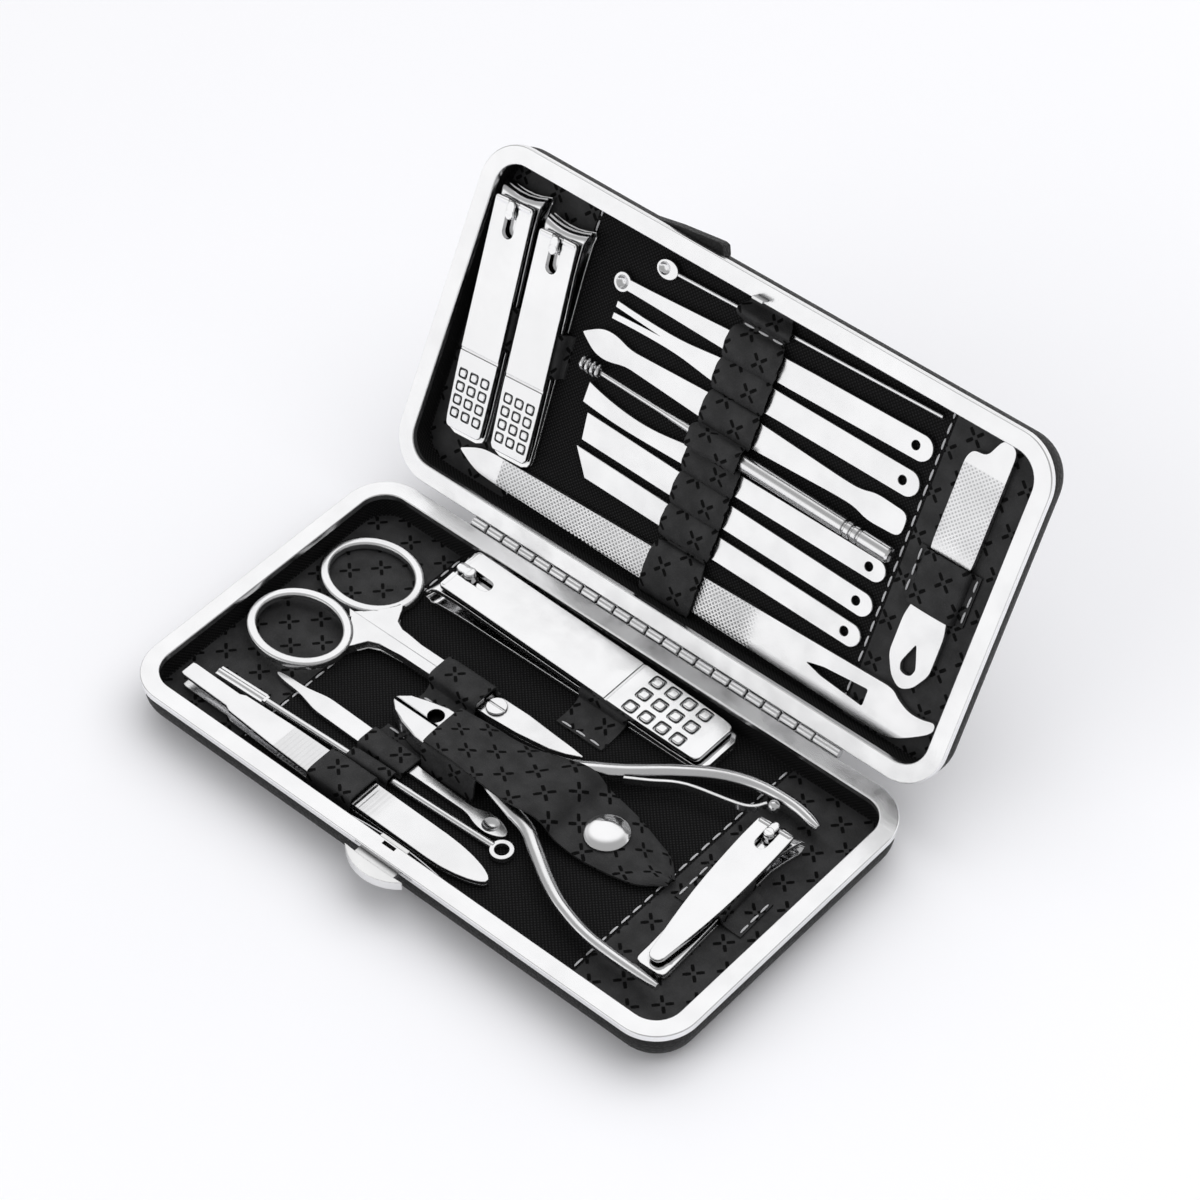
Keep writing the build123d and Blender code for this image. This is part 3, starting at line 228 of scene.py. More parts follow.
def makeBrushedLines():
    tree, given, made = startGroup(
        "brushedLines",
        [("Vector", "NodeSocketVector", None), ("Stretch", "NodeSocketVector", (60.0, 3000.0, 3000.0))],
        [("Height", "NodeSocketFloat"), ("Smudge", "NodeSocketFloat")],
    )
    links = [(0, given[0]), (1, given[1])]
    scaled = addNode(tree, "ShaderNodeVectorMath", links, operation="MULTIPLY").outputs[0]
    tree.links.new(speckle(tree, scaled, 1.0, 3.0, 0.6), made[0])
    tree.links.new(speckle(tree, given[0], 90.0, 3.0, 0.6), made[1])
    return tree


def makeEdgeWear():
    tree, given, made = startGroup(
        "edgeWear",
        [("Radius", "NodeSocketFloat", 0.0002)],
        [("Mask", "NodeSocketFloat"), ("Normal", "NodeSocketVector")],
    )
    soft = addNode(tree, "ShaderNodeBevel", [("Radius", given[0])], samples=4).outputs[0]
    plain = addNode(tree, "ShaderNodeNewGeometry").outputs["Normal"]
    links = [(0, soft), (1, plain)]
    match = addNode(tree, "ShaderNodeVectorMath", links, operation="DOT_PRODUCT").outputs["Value"]
    tree.links.new(ramp(tree, match, 0.995, 0.8), made[0])
    tree.links.new(soft, made[1])
    return tree


# painted shade: the metals' colour is darkened where ambient occlusion finds other surfaces close by, in gaps
# and crevices
def makeCreviceShade():
    tree, given, made = startGroup(
        "creviceShade", [("Distance", "NodeSocketFloat", 0.001)], [("Open", "NodeSocketFloat")]
    )
    corner = addNode(tree, "ShaderNodeAmbientOcclusion", [("Distance", given[0])], samples=6)
    tree.links.new(ramp(tree, corner.outputs["AO"], 0.3, 0.85), made[0])
    return tree


pebbleGrain = makePebbleGrain()
crossMotif = makeCrossMotif()
wovenGrid = makeWeave()
brushedLines = makeBrushedLines()
edgeWear = makeEdgeWear()
creviceShade = makeCreviceShade()

# metals: roughness runs from clean to smudged, and stretch is how far the brushing is drawn out
metals = {
    "frameChrome": {
        "tone": (0.93, 0.93, 0.94), "rough": (0.14, 0.26), "brush": 0.02,
        "stretch": (120, 900, 900), "edge": 0.0002,
    },
    # the hinge's painted crevice shade reaches further, into the gaps between its knuckles
    "hingeSteel": {
        "tone": (0.86, 0.86, 0.87), "rough": (0.16, 0.3), "brush": 0.03,
        "stretch": (60, 2600, 2600), "edge": 0.00015, "crevice": 0.003,
    },
    "toolSteel": {
        "tone": (0.9, 0.9, 0.91), "rough": (0.14, 0.27), "brush": 0.035,
        "stretch": (160, 2400, 2400), "edge": 0.00018,
    },
    "clipperChrome": {
        "tone": (0.92, 0.92, 0.93), "rough": (0.07, 0.16), "brush": 0.015,
        "stretch": (700, 700, 700), "edge": 0.0002,
    },
    "latchSatin": {
        "tone": (0.88, 0.88, 0.88), "rough": (0.26, 0.38), "brush": 0.03,
        "stretch": (2600, 300, 2600), "edge": 0.0003,
    },
    "snapChrome": {
        "tone": (0.94, 0.94, 0.95), "rough": (0.08, 0.16), "brush": 0.01,
        "stretch": (500, 500, 500), "edge": 0.0002,
    },
    # painted shade: a black lining in the nippers' jaw pit stands in for the shade inside it
    "pitBlack": {
        "tone": (0.01, 0.01, 0.01), "rough": (0.5, 0.6), "brush": 0.02,
        "stretch": (500, 500, 500), "edge": 0.0001,
    },
    "springSteel": {
        "tone": (0.6, 0.6, 0.62), "rough": (0.2, 0.34), "brush": 0.03,
        "stretch": (200, 2000, 2000), "edge": 0.0001,
    },
}
# cuts on steel: the stretch of the tool that they cover, and the slant of each set of lines
cuts = {
    "fileSteel": {"zone": (12.0, 90.0), "slants": (0.9, -0.9), "tint": 1.0},
    "scraperSteel": {"zone": (8.5, 31.0), "slants": (1.0, -1.0), "tint": 1.0},
    "gripSteel": {"zone": (30.0, 62.0), "slants": (0.0,), "tint": 0.86},
}
# shade is how dark the painted shade in the cuts' grooves gets
cutting = {"pitch": 1.15, "depth": 0.22, "soft": 6.0, "shade": 0.6}
# how far the painted crevice shade reaches, and how dark it gets
crevice = {"distance": 0.0013, "shade": 0.05}
looks = {}


def steel(tone, share=1.0):
    return (*(channel * share for channel in tone), 1)


def makeMetal(name, metal, cut=None):
    tone = metal["tone"]
    material, tree, shader = startMaterial(name)
    where = addNode(tree, "ShaderNodeTexCoord").outputs
    lines = useGroup(tree, brushedLines, [("Vector", where["Object"]), ("Stretch", metal["stretch"])])
    edge = useGroup(tree, edgeWear, [("Radius", metal["edge"])])
    rough = ramp(tree, lines["Smudge"], 0.3, 0.7, *metal["rough"])
    rough = calc(tree, "MULTIPLY_ADD", edge["Mask"], -0.06, rough)
    colour = blendColour(tree, lines["Smudge"], steel(tone), steel(tone, 0.9))
    normal = bumpOf(tree, lines["Height"], metal["brush"], 0.0002, edge["Normal"])
    if cut:
        along, across, _ = splitUp(tree, where["UV"])
        first, last = cut["zone"]
        starts = ramp(tree, along, first, first + 0.5)
        zone = calc(tree, "MULTIPLY", starts, ramp(tree, along, last, last - cutting["soft"]))
        depth = None
        for slant in cut["slants"]:
            turn = calc(tree, "MULTIPLY_ADD", across, slant, along)
            wave = calc(tree, "SINE", calc(tree, "MULTIPLY", turn, math.tau / cutting["pitch"]))
            depth = calc(tree, "MAXIMUM", depth, wave) if depth else wave
        depth = calc(tree, "MULTIPLY", depth, zone)
        normal = bumpOf(tree, depth, cutting["depth"], 0.0002, normal)
        # painted shade: the low parts of the cuts are darkened towards the cutting shade
        low = calc(tree, "MULTIPLY", ramp(tree, depth, 0.5, -0.4), zone)
        colour = blendColour(tree, low, colour, steel(tone, cutting["shade"]))
        if cut["tint"] < 1:
            colour = blendColour(tree, zone, colour, steel(tone, cut["tint"]))
        rough = calc(tree, "MULTIPLY_ADD", zone, 0.1, rough)
    # painted shade: the colour darkens towards the crevice tone where nearby surfaces close it in
    reach = metal.get("crevice", crevice["distance"])
    unshaded = useGroup(tree, creviceShade, [("Distance", reach)])["Open"]
    tree.links.new(blendColour(tree, unshaded, steel(tone, crevice["shade"]), colour), shader["Base Color"])
    tree.links.new(rough, shader["Roughness"])
    tree.links.new(normal, shader["Normal"])
    shader["Metallic"].default_value = 1.0
    return material


for name, metal in metals.items():
    looks[name] = makeMetal(name, metal)
for name, cut in cuts.items():
    looks[name] = makeMetal(name, metals["toolSteel"], cut)
print("metals ready")

# leather, cloth and thread
leather = {"tone": 0.024, "light": 0.038, "motif": 0.001, "pitch": 7.3, "rough": (0.62, 0.46), "grain": 1.7}
# in the cloth, light is the painted highlight tone of the raised threads
cloth = {"tone": 0.005, "light": 0.022, "pitch": 1.0, "rough": (0.9, 0.7)}


def grey(value):
    return (value, value, value * 1.03, 1)


def makeLeather(name, motif=True, coordinates="UV", grain=leather["grain"], bump=0.25, shade=1.0):
    material, tree, shader = startMaterial(name)
    where = addNode(tree, "ShaderNodeTexCoord").outputs[coordinates]
    pores = useGroup(tree, pebbleGrain, [("Vector", where), ("Scale", grain)])
    mottle = ramp(tree, pores["Mottle"], 0.3, 0.7)
    tone = blendColour(tree, mottle, grey(shade * leather["tone"]), grey(shade * leather["light"]))
    height = calc(tree, "MULTIPLY", pores["Height"], 0.4)
    rough = ramp(tree, pores["Height"], 0.1, 1.2, *leather["rough"])
    if motif:
        mask = useGroup(tree, crossMotif, [("Vector", where), ("Pitch", leather["pitch"])])["Mask"]
        height = calc(tree, "MULTIPLY_ADD", mask, -2.0, height)
        tone = blendColour(tree, mask, tone, grey(leather["motif"]))
        rough = calc(tree, "MULTIPLY_ADD", mask, 0.3, rough)
    tree.links.new(tone, shader["Base Color"])
    tree.links.new(rough, shader["Roughness"])
    tree.links.new(bumpOf(tree, height, bump, 0.0003), shader["Normal"])
    shader["Specular IOR Level"].default_value = 0.2
    return material


def makeCloth():
    material, tree, shader = startMaterial("wovenLining")
    where = addNode(tree, "ShaderNodeTexCoord").outputs["UV"]
    threads = useGroup(tree, wovenGrid, [("Vector", where), ("Pitch", cloth["pitch"])])
    # painted highlight: the raised threads of the weave get the lighter tone
    crownHighlight = ramp(tree, threads["Height"], 0.3, 1.3)
    tone = blendColour(tree, crownHighlight, grey(cloth["tone"]), grey(cloth["light"]))
    tree.links.new(tone, shader["Base Color"])
    tree.links.new(ramp(tree, threads["Fleck"], 0.3, 0.7, *cloth["rough"]), shader["Roughness"])
    tree.links.new(bumpOf(tree, threads["Height"], 0.4), shader["Normal"])
    shader["Specular IOR Level"].default_value = 0.12
    return material


def makeGrainy(name, first, second, scale, rough):
    material, tree, shader = startMaterial(name)
    where = addNode(tree, "ShaderNodeTexCoord").outputs["Object"]
    fleck = speckle(tree, where, scale, 4.0, 0.6)
    tree.links.new(blendColour(tree, fleck, grey(first), grey(second)), shader["Base Color"])
    tree.links.new(bumpOf(tree, fleck, 0.3), shader["Normal"])
    tree.links.new(ramp(tree, fleck, 0.3, 0.7, rough - 0.08, rough + 0.08), shader["Roughness"])
    return material


looks["cover"] = makeLeather(
    "coverLeatherette", motif=False, coordinates="Object", grain=900.0, bump=0.7, shade=0.35
)
looks["panel"] = makeLeather("embossedPanel")
looks["strapSkin"] = makeLeather("embossedStrap", bump=0.35)
looks["cloth"] = makeCloth()
looks["thread"] = makeGrainy("stitchThread", 0.62, 0.42, 3000.0, 0.7)
looks["board"] = makeGrainy("trayBoard", 0.06, 0.03, 1500.0, 0.8)
looks["foam"] = makeGrainy("paddingFoam", 0.12, 0.07, 900.0, 0.9)
print("leather and cloth ready")


# mesh helpers, all in a piece's own millimetres
def smoothLine(points, steps=6):
    points = [Vector(point) for point in points]
    line = []
    for index in range(len(points) - 1):
        before = points[max(index - 1, 0)]
        start, stop = points[index], points[index + 1]
        after = points[min(index + 2, len(points) - 1)]
        for step in range(steps):
            t = step / steps
            bend = (2 * before - 5 * start + 4 * stop - after) * t * t
            twist = (3 * start - before - 3 * stop + after) * t**3
            line.append(0.5 * (2 * start + (stop - before) * t + bend + twist))
    return line + [points[-1]]


def between(table, at):
    for (left, low), (right, high) in zip(table, table[1:]):
        if at <= right:
            return low + (high - low) * max(at - left, 0) / (right - left)
    return table[-1][1]


def runs(points):
    total = [0.0]
    for first, second in zip(points, points[1:]):
        total.append(total[-1] + (Vector(second) - Vector(first)).length)
    return total


def skinOver(bm, rows, wrap=False):
    layer = bm.loops.layers.uv.verify()
    verts = [[bm.verts.new(point) for point in row] for row in rows]
    middle = len(rows) // 2
    across = runs(list(rows[middle]) + ([rows[middle][0]] if wrap else []))
    along = runs([row[len(row) // 2] for row in rows])
    count = len(rows[0])
    for i in range(len(rows) - 1):
        for j in range(count if wrap else count - 1):
            k = (j + 1) % count
            face = bm.faces.new((verts[i][j], verts[i][k], verts[i + 1][k], verts[i + 1][j]))
            spots = ((i, j), (i, j + 1), (i + 1, j + 1), (i + 1, j))
            for loop, (row, column) in zip(face.loops, spots):
                loop[layer].uv = (along[row], across[column])
    return verts


def flatUv(bm, faces=None):
    layer = bm.loops.layers.uv.verify()
    for face in faces or bm.faces:
        for loop in face.loops:
            loop[layer].uv = (loop.vert.co.x, loop.vert.co.y)


def capOver(bm, ring):
    flatUv(bm, [bm.faces.new(ring)])


def capEnds(bm, rings):
    capOver(bm, rings[0])
    capOver(bm, list(reversed(rings[-1])))


def slabOver(bm, rows, thick):
    normals = []
    for i, row in enumerate(rows):
        normals.append([])
        for j in range(len(row)):
            along = rows[min(i + 1, len(rows) - 1)][j] - rows[max(i - 1, 0)][j]
            across = row[min(j + 1, len(row) - 1)] - row[max(j - 1, 0)]
            normals[-1].append(along.cross(across).normalized())
    sheet = thick if callable(thick) else (lambda i, j: thick)
    upper = []
    for i, row in enumerate(rows):
        upper.append([point + normals[i][j] * sheet(i, j) for j, point in enumerate(row)])
    top = skinOver(bm, upper)
    under = skinOver(bm, rows)
    rim = [(top[0], under[0]), (top[-1], under[-1])]
    rim += [([row[side] for row in top], [row[side] for row in under]) for side in (0, -1)]
    for high, low in rim:
        for index in range(len(high) - 1):
            capOver(bm, (high[index], high[index + 1], low[index + 1], low[index]))


def ovalSection(halfA, halfB, count=14, power=2.4):
    ring = []
    for index in range(count):
        angle = math.tau * (index + 0.5) / count
        shares = (math.cos(angle), math.sin(angle))
        a, b = (math.copysign(abs(share) ** (2 / power), share) for share in shares)
        ring.append((halfA * a, halfB * b))
    return ring


def barSection(halfWidth, halfThick, edge, crown=0.0):
    edge = min(edge, 0.9 * halfThick, 0.9 * halfWidth)
    quarter = []
    for step in range(3):
        angle = math.radians(45 * step)
        quarter.append((halfWidth - edge + edge * math.cos(angle), halfThick - edge + edge * math.sin(angle)))
    flat = halfWidth - edge
    top = [(flat * share, halfThick + crown * (1 - share * share)) for share in (0.6, 0.2, -0.2, -0.6)]
    left = [(-a, b) for a, b in reversed(quarter)]
    low = [(a, -b) for a, b in reversed(left)] + [(-a, -halfThick) for a, _ in top]
    low += [(a, -b) for a, b in reversed(quarter)]
    return quarter + top + left + low


def sweepBar(bm, spine, across, sections):
    across = Vector(across)
    last = len(spine) - 1
    rows = []
    for index, (point, section) in enumerate(zip(spine, sections)):
        ahead = spine[min(index + 1, last)] - spine[max(index - 1, 0)]
        outward = ahead.cross(across).normalized()
        rows.append([point + across * a + outward * b for a, b in section])
    capEnds(bm, skinOver(bm, rows, True))


def sweepClosed(bm, spine, across, section):
    across = Vector(across)
    rows = []
    count = len(spine)
    for index in range(count + 1):
        point = spine[index % count]
        ahead = spine[(index + 1) % count] - spine[(index - 1) % count]
        outward = ahead.cross(across).normalized()
        rows.append([point + across * a + outward * b for a, b in section])
    skinOver(bm, rows, True)
    bmesh.ops.remove_doubles(bm, verts=bm.verts, dist=0.001)


def turnProfile(bm, profile, count, place):
    rows = []
    angles = [math.tau * step / count for step in range(count)]
    for radius, height in profile:
        rows.append([place @ Vector((radius * math.cos(a), radius * math.sin(a), height)) for a in angles])
    capEnds(bm, skinOver(bm, rows, True))


def roundEdges(bm, edges, width):
    settings = {"offset": width, "offset_type": "OFFSET", "segments": 2, "profile": 0.5}
    bmesh.ops.bevel(bm, geom=edges, affect="EDGES", clamp_overlap=True, **settings)


def raiseOutline(bm, outline, low, high):
    lower = [bm.verts.new((x, y, low)) for x, y in outline]
    upper = [bm.verts.new((x, y, high)) for x, y in outline]
    ends = [bm.faces.new(list(reversed(lower))), bm.faces.new(upper)]
    for index in range(len(outline)):
        follow = (index + 1) % len(outline)
        bm.faces.new((lower[index], lower[follow], upper[follow], upper[index]))
    return list(ends[0].edges) + list(ends[1].edges)


def plateOver(bm, outline, low, high, edge=0.2):
    roundEdges(bm, raiseOutline(bm, outline, low, high), edge)


def ballAt(bm, x, y, z, radius, count=20):
    profile = []
    for step in range(13):
        angle = math.radians(-84 + 14 * step)
        profile.append((radius * math.cos(angle), radius * math.sin(angle)))
    turnProfile(bm, profile, count, shift(x, y, z))


def prism(outline, low, high):
    bm = bmesh.new()
    raiseOutline(bm, outline, low, high)
    return bm


def carve(bm, cutter):
    objects = []
    for shape in (bm, cutter):
        bmesh.ops.recalc_face_normals(shape, faces=shape.faces)
        mesh = bpy.data.meshes.new("carve")
        shape.to_mesh(mesh)
        shape.free()
        objects.append(bpy.data.objects.new("carve", mesh))
        scene.collection.objects.link(objects[-1])
    cut = objects[0].modifiers.new("cut", "BOOLEAN")
    cut.operation = "DIFFERENCE"
    cut.solver = "EXACT"
    cut.object = objects[1]
    bpy.context.view_layer.update()
    evaluated = objects[0].evaluated_get(bpy.context.evaluated_depsgraph_get())
    result = bmesh.new()
    result.from_mesh(evaluated.to_mesh())
    evaluated.to_mesh_clear()
    for mesh in [item.data for item in objects]:
        bpy.data.meshes.remove(mesh)
    return result


def addShape(bm, shape):
    mesh = bpy.data.meshes.new("part")
    shape.to_mesh(mesh)
    shape.free()
    bm.from_mesh(mesh)
    bpy.data.meshes.remove(mesh)


def finishPiece(name, bm, look, place, body, crease=35.0, closed=True, weighted=False):
    bmesh.ops.transform(bm, matrix=place, verts=bm.verts)
    if closed:
        bmesh.ops.recalc_face_normals(bm, faces=bm.faces)
    mesh = bpy.data.meshes.new(name)
    bm.to_mesh(mesh)
    bm.free()
    for face in mesh.polygons:
        face.use_smooth = True
    mesh.set_sharp_from_angle(angle=math.radians(crease))
    mesh.materials.append(looks[look])
    piece = bpy.data.objects.new(name, mesh)
    scene.collection.objects.link(piece)
    if weighted:
        piece.modifiers.new("normals", "WEIGHTED_NORMAL").keep_sharp = True
    if body:
        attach(piece, body)
    return piece


def finishOnTray(name, bm, look, tray, closed=True):
    return finishPiece(name, bm, look, trays[tray]["place"], trays[tray]["body"], closed=closed)


def finishShape(node, bm, look, place, body, crease=32.0, closed=True):
    piece = finishPiece(node + "_shape", bm, look, place, body, crease, closed, weighted=True)
    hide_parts(node)


# pieces that keep their node's own shape, with fine rounded edges: slot, rounding and nodes for each look
refine = {"weld": 2e-6, "flat": 0.6, "crease": 27.0}
kept = {
    "frameChrome": ("frame_chrome", 0.12, ["base_frame", "lid_frame"]),
    "hingeSteel": ("hinge_steel", 0.08, ["hinge_pin", "catch_hook"]),
    "latchSatin": ("latch_metal", 0.25, ["latch_button"]),
    "snapChrome": ("snap_metal", 0.12, ["snap_stud"]),
    "springSteel": ("spring_steel", 0.05, ["latch_spring"]),
    "cover": ("cover_leatherette", 0.4, ["catch_boss"]),
    "toolSteel": (
        "tool_steel",
        0.18,
        ["scissors_screw", "nipper_rivet", "ring_rod", "ear_pick", "cup_extractor", "fork_trimmer"]
        + ["curved_knife", "straight_knife", "angled_knife"],
    ),
}


def refineNode(node, width, look):
    source = frame["nodes"][node]
    bm = bmesh.new()
    bm.from_mesh(source.data)
    bmesh.ops.remove_doubles(bm, verts=bm.verts, dist=refine["weld"])
    bmesh.ops.dissolve_limit(bm, angle_limit=math.radians(refine["flat"]), verts=bm.verts, edges=bm.edges)
    sharpest = math.radians(refine["crease"])
    creased = [edge for edge in bm.edges if len(edge.link_faces) == 2 and edge.calc_face_angle(0) > sharpest]
    roundEdges(bm, creased, width / 1000)
    flatUv(bm)
    finishShape(node, bm, look, Matrix(), source["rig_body"], 38.0, closed=False)


for look, (slot, width, nodes) in kept.items():
    for node in nodes:
        refineNode(node, width, look)
for tray in trays:
    for part, look in (("_shell", "board"), ("_padding", "foam")):
        hidden = frame["nodes"][tray + part]
        hidden.data.materials.clear()
        hidden.data.materials.append(looks[look])
print("kept shapes refined")


# hinge: every second knuckle on each leaf, with a small chamfer at both ends
hinge = {
    "start": -51.925, "pitch": 4.85, "long": 4.7, "count": 21, "radius": 1.1, "chamfer": 0.34,
    "axis": 43.62, "level": 12.1, "face": 42.5, "sheet": 0.45, "leafTop": 10.85, "leafLow": 7.85,
}


def makeHingeHalf(node, tray, side, first):
    bm = bmesh.new()
    long, radius, cut = hinge["long"], hinge["radius"], hinge["chamfer"]
    stand = shift(0, side * hinge["face"] + max(side, 0) * hinge["sheet"]) @ turned(90, "X")
    stop = hinge["start"] + hinge["count"] * hinge["pitch"]
    bands = [(hinge["start"], stop, hinge["leafLow"], hinge["leafTop"])]
    profile = [(radius - 0.42, 0.02), (radius - 0.08, cut - 0.06), (radius, cut + 0.04)]
    profile += [(radius, long - cut - 0.04), (radius - 0.08, long - cut + 0.06), (radius - 0.42, long - 0.02)]
    for index in range(first, hinge["count"], 2):
        start = hinge["start"] + index * hinge["pitch"]
        lay = shift(start, side * hinge["axis"], hinge["level"]) @ turned(90, "Y")
        turnProfile(bm, profile, 24, lay)
        bands.append((start, start + long, hinge["leafTop"] - 0.2, hinge["level"] - 0.05))
    for left, right, low, high in bands:
        leaf = bmesh.new()
        plateOver(leaf, [(left, low), (right, low), (right, high), (left, high)], 0, hinge["sheet"], 0.06)
        bmesh.ops.transform(leaf, matrix=stand, verts=leaf.verts)
        addShape(bm, leaf)
    finishShape(node, bm, "hingeSteel", trays[tray]["place"], trays[tray]["body"])


makeHingeHalf("hinge_base_leaf", "base", 1, 0)
makeHingeHalf("hinge_lid_leaf", "lid", -1, 1)
print("hinge made")

# skins and linings
cover = {"wall": 0.6, "lip": 1.2, "steps": 12}
lining = {"outer": 3.1, "inner": 3.8, "fillet": 0.6, "top": 11.2}
panel = {"sheet": 0.12, "gap": 0.35, "edges": {"base": (-51.2, 48.4), "lid": (-51.0, 50.2)}}  # inner edges


def caseRing(inset, z):
    radius = max(case["corner"] - inset, 0.5)
    wide = case["halfLength"] - inset - radius
    deep = case["halfWidth"] - inset - radius
    ring = []
    for quarter, (x, y) in enumerate(((wide, deep), (-wide, deep), (-wide, -deep), (wide, -deep))):
        for step in range(case["steps"] + 1):
            angle = math.radians(90 * (quarter + step / case["steps"]))
            ring.append(Vector((x + radius * math.cos(angle), y + radius * math.sin(angle), z)))
    return ring


def cornerArc(inset, z, radius, start, stop, steps):
    arc = []
    for step in range(steps + 1):
        angle = math.radians(start + (stop - start) * step / steps)
        arc.append((inset + radius * math.cos(angle), z + radius * math.sin(angle)))
    return arc


def makeCover(tray):
    wall, top, reach = cover["wall"], case["skinTop"], case["bottom"]
    profile = [(cover["lip"], top - 0.02), (wall + 0.1, top), (wall, top - 0.15)]
    profile += cornerArc(wall + reach, reach, reach, 180, 270, cover["steps"])
    bm = bmesh.new()
    verts = skinOver(bm, [caseRing(inset, z) for inset, z in profile], True)
    capOver(bm, list(reversed(verts[-1])))
    piece = finishOnTray(tray + "_cover_skin", bm, "cover", tray)
    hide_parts(tray + "_cover")


def makeLining(tray):
    inner, fillet = lining["inner"], lining["fillet"]
    profile = [(lining["outer"], lining["top"]), (inner, lining["top"])]
    profile += cornerArc(inner + fillet, case["floor"] + fillet, fillet, 180, 270, 5)
    bm = bmesh.new()
    verts = skinOver(bm, [caseRing(inset, z) for inset, z in profile], True)
    capOver(bm, verts[-1])
    piece = finishOnTray(tray + "_lining_cloth", bm, "cloth", tray, closed=False)
    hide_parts(tray + "_lining")


def makePanel(tray, end, edgeX):
    ring = caseRing(lining["inner"] + panel["gap"], case["floor"] + panel["sheet"])
    side = 1 if end == "right" else -1
    beyond = [(point.x - edgeX) * side > 0 for point in ring]
    first = beyond.index(False)
    order = list(range(first, len(ring))) + list(range(first))
    outline = [ring[index] for index in order if beyond[index]]
    high, low, level = outline[0].y, outline[-1].y, outline[0].z
    outline = [Vector((edgeX, high, level))] + outline + [Vector((edgeX, low, level))]
    lower = [point - Vector((0, 0, panel["sheet"])) for point in outline]
    bm = bmesh.new()
    verts = skinOver(bm, [lower, outline], True)
    capOver(bm, verts[-1])
    flatUv(bm)
    piece = finishOnTray(f"{tray}_{end}_panel", bm, "panel", tray)


for tray in trays:
    makeCover(tray)
    makeLining(tray)
    for end, edgeX in zip(("left", "right"), panel["edges"][tray]):
        makePanel(tray, end, edgeX)
print("skins and linings made")

# stitches, each run from one point of a tray's floor to another
stitch = {"long": 2.7, "gap": 1.1, "wide": 0.5, "high": 0.3, "fromEdge": 0.8, "reach": 37.5, "sway": 0.06}
stitchRuns = {"base": [], "lid": []}
for tray, (left, right) in panel["edges"].items():
    for x in (left + stitch["fromEdge"], right - stitch["fromEdge"]):
        lay = shift(0, 0, case["floor"] + panel["sheet"])
        stitchRuns[tray].append((lay, (x, stitch["reach"]), (x, -stitch["reach"])))


def stitchDash(bm, middle, turn):
    place = shift(*middle) @ Matrix.Rotation(turn, 4, "Z")
    half, wide, high = stitch["long"] / 2, stitch["wide"] / 2, stitch["high"] / 2
    spine, sections = [], []
    for share, size in ((-1, 0.3), (-0.8, 0.8), (-0.3, 1.0), (0.3, 1.0), (0.8, 0.8), (1, 0.3)):
        spine.append(place @ Vector((half * share, 0, 0.05 + high * (1 - share * share) * 0.8)))
        sections.append(ovalSection(wide * size, high * size, 8, 2.0))
    sweepBar(bm, spine, place.to_3x3() @ Vector((0, 1, 0)), sections)


def makeStitches(tray):
    bm = bmesh.new()
    for lay, start, stop in stitchRuns[tray]:
        first, last = lay @ Vector((*start, 0.02)), lay @ Vector((*stop, 0.02))
        span = last - first
        count = int((span.length + stitch["gap"]) // (stitch["long"] + stitch["gap"]))
        for index in range(count):
            spot = first + span * ((index + 0.5) / count)
            sway = stitch["sway"] * noise.noise(spot * 0.7)
            stitchDash(bm, spot, math.atan2(span.y, span.x) + sway)
    finishOnTray(tray + "_stitches", bm, "thread", tray)


# loops, each an arch sewn down at both sides of its tool and drawn up with it
loop = {
    "sheet": 0.55, "gap": 0.35, "low": -0.05, "round": 0.32, "rows": 9, "pinch": 0.35, "sag": 0.12,
    "leastFlap": 1.5, "seam": 0.7,  # a flap wider than this is stitched, this far in from its edge
}


def archLine(half, top, flaps):
    side, crown, low = half + loop["gap"], top + loop["gap"], loop["low"]

    def flank(sign, flap):
        foot = [(side + flap, low), (side + 0.45 * flap + 0.2, low)]
        wall = [(side + 0.1, low + loop["round"] * crown), (0.97 * side, 0.78 * crown), (0.8 * side, crown)]
        return [(0, sign * y, z) for y, z in foot + wall]

    middle = [(0, 0, crown + 0.04 * half)]
    return smoothLine(flank(-1, flaps[0]) + middle + flank(1, flaps[1])[::-1], 4)


def archRows(at, width, line, top, slope):
    rows = []
    for index in range(loop["rows"]):
        share = 2 * index / (loop["rows"] - 1) - 1
        row = []
        for point in line:
            lift = max(point.z, 0) / (top + loop["gap"])
            spread = width / 2 - loop["pinch"] * (1 - min(lift, 1.0))
            sag = loop["sag"] * (1 - share * share)
            tilt = -share * width / 2 * math.tan(slope)
            row.append(Vector((at + share * spread, point.y, point.z + (sag + tilt) * lift)))
        rows.append(row)
    return rows


def makeLoop(name, tray, body, place, at, width, half, top, flaps, slope=0.0):
    rows = archRows(at, width, archLine(half, top, flaps), top, slope)
    bm = bmesh.new()
    slabOver(bm, rows, loop["sheet"])
    piece = finishPiece(name, bm, "strapSkin", place, None if body else trays[tray]["body"])
    if body:
        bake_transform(piece)
    lay = trays[tray]["place"].inverted() @ place @ shift(0, 0, loop["low"] + loop["sheet"])
    reach = width / 2 - stitch["fromEdge"]
    for side, flap in zip((-1, 1), flaps):
        if flap > loop["leastFlap"]:
            y = side * (half + loop["gap"] + flap - loop["seam"])
            stitchRuns[tray].append((lay, (at - reach, y), (at + reach, y)))


def leafTop(clipper, at):
    run = max(clipper["root"] - at, 0)
    return 2 * clipper["leaf"] + leafGap + run * math.tan(clipper["slope"])


# the lever's bar lies on the upper leaf, under the head of the pin that stands in both leaves
leafGap = 0.03
bar = {"radius": 0.75, "end": 0.5, "gap": 0.3, "over": 0.12, "head": 0.8, "foot": 0.8, "hole": 0.35}


def makeClipper(**size):
    size["jaw"] = size["leaf"] * 1.1
    size["root"] = 0.85 * size["length"]
    size["edge"] = size["leaf"] + (size["rise"] - size["gap"]) / 2
    size["slope"] = math.atan2(size["rise"], size["root"] - size["jaw"])
    size["bar"] = size["inset"] - size["pin"] - bar["radius"] - bar["gap"]
    size["barHigh"] = 2 * size["leaf"] + size["rise"] + 2 * bar["radius"]
    return size


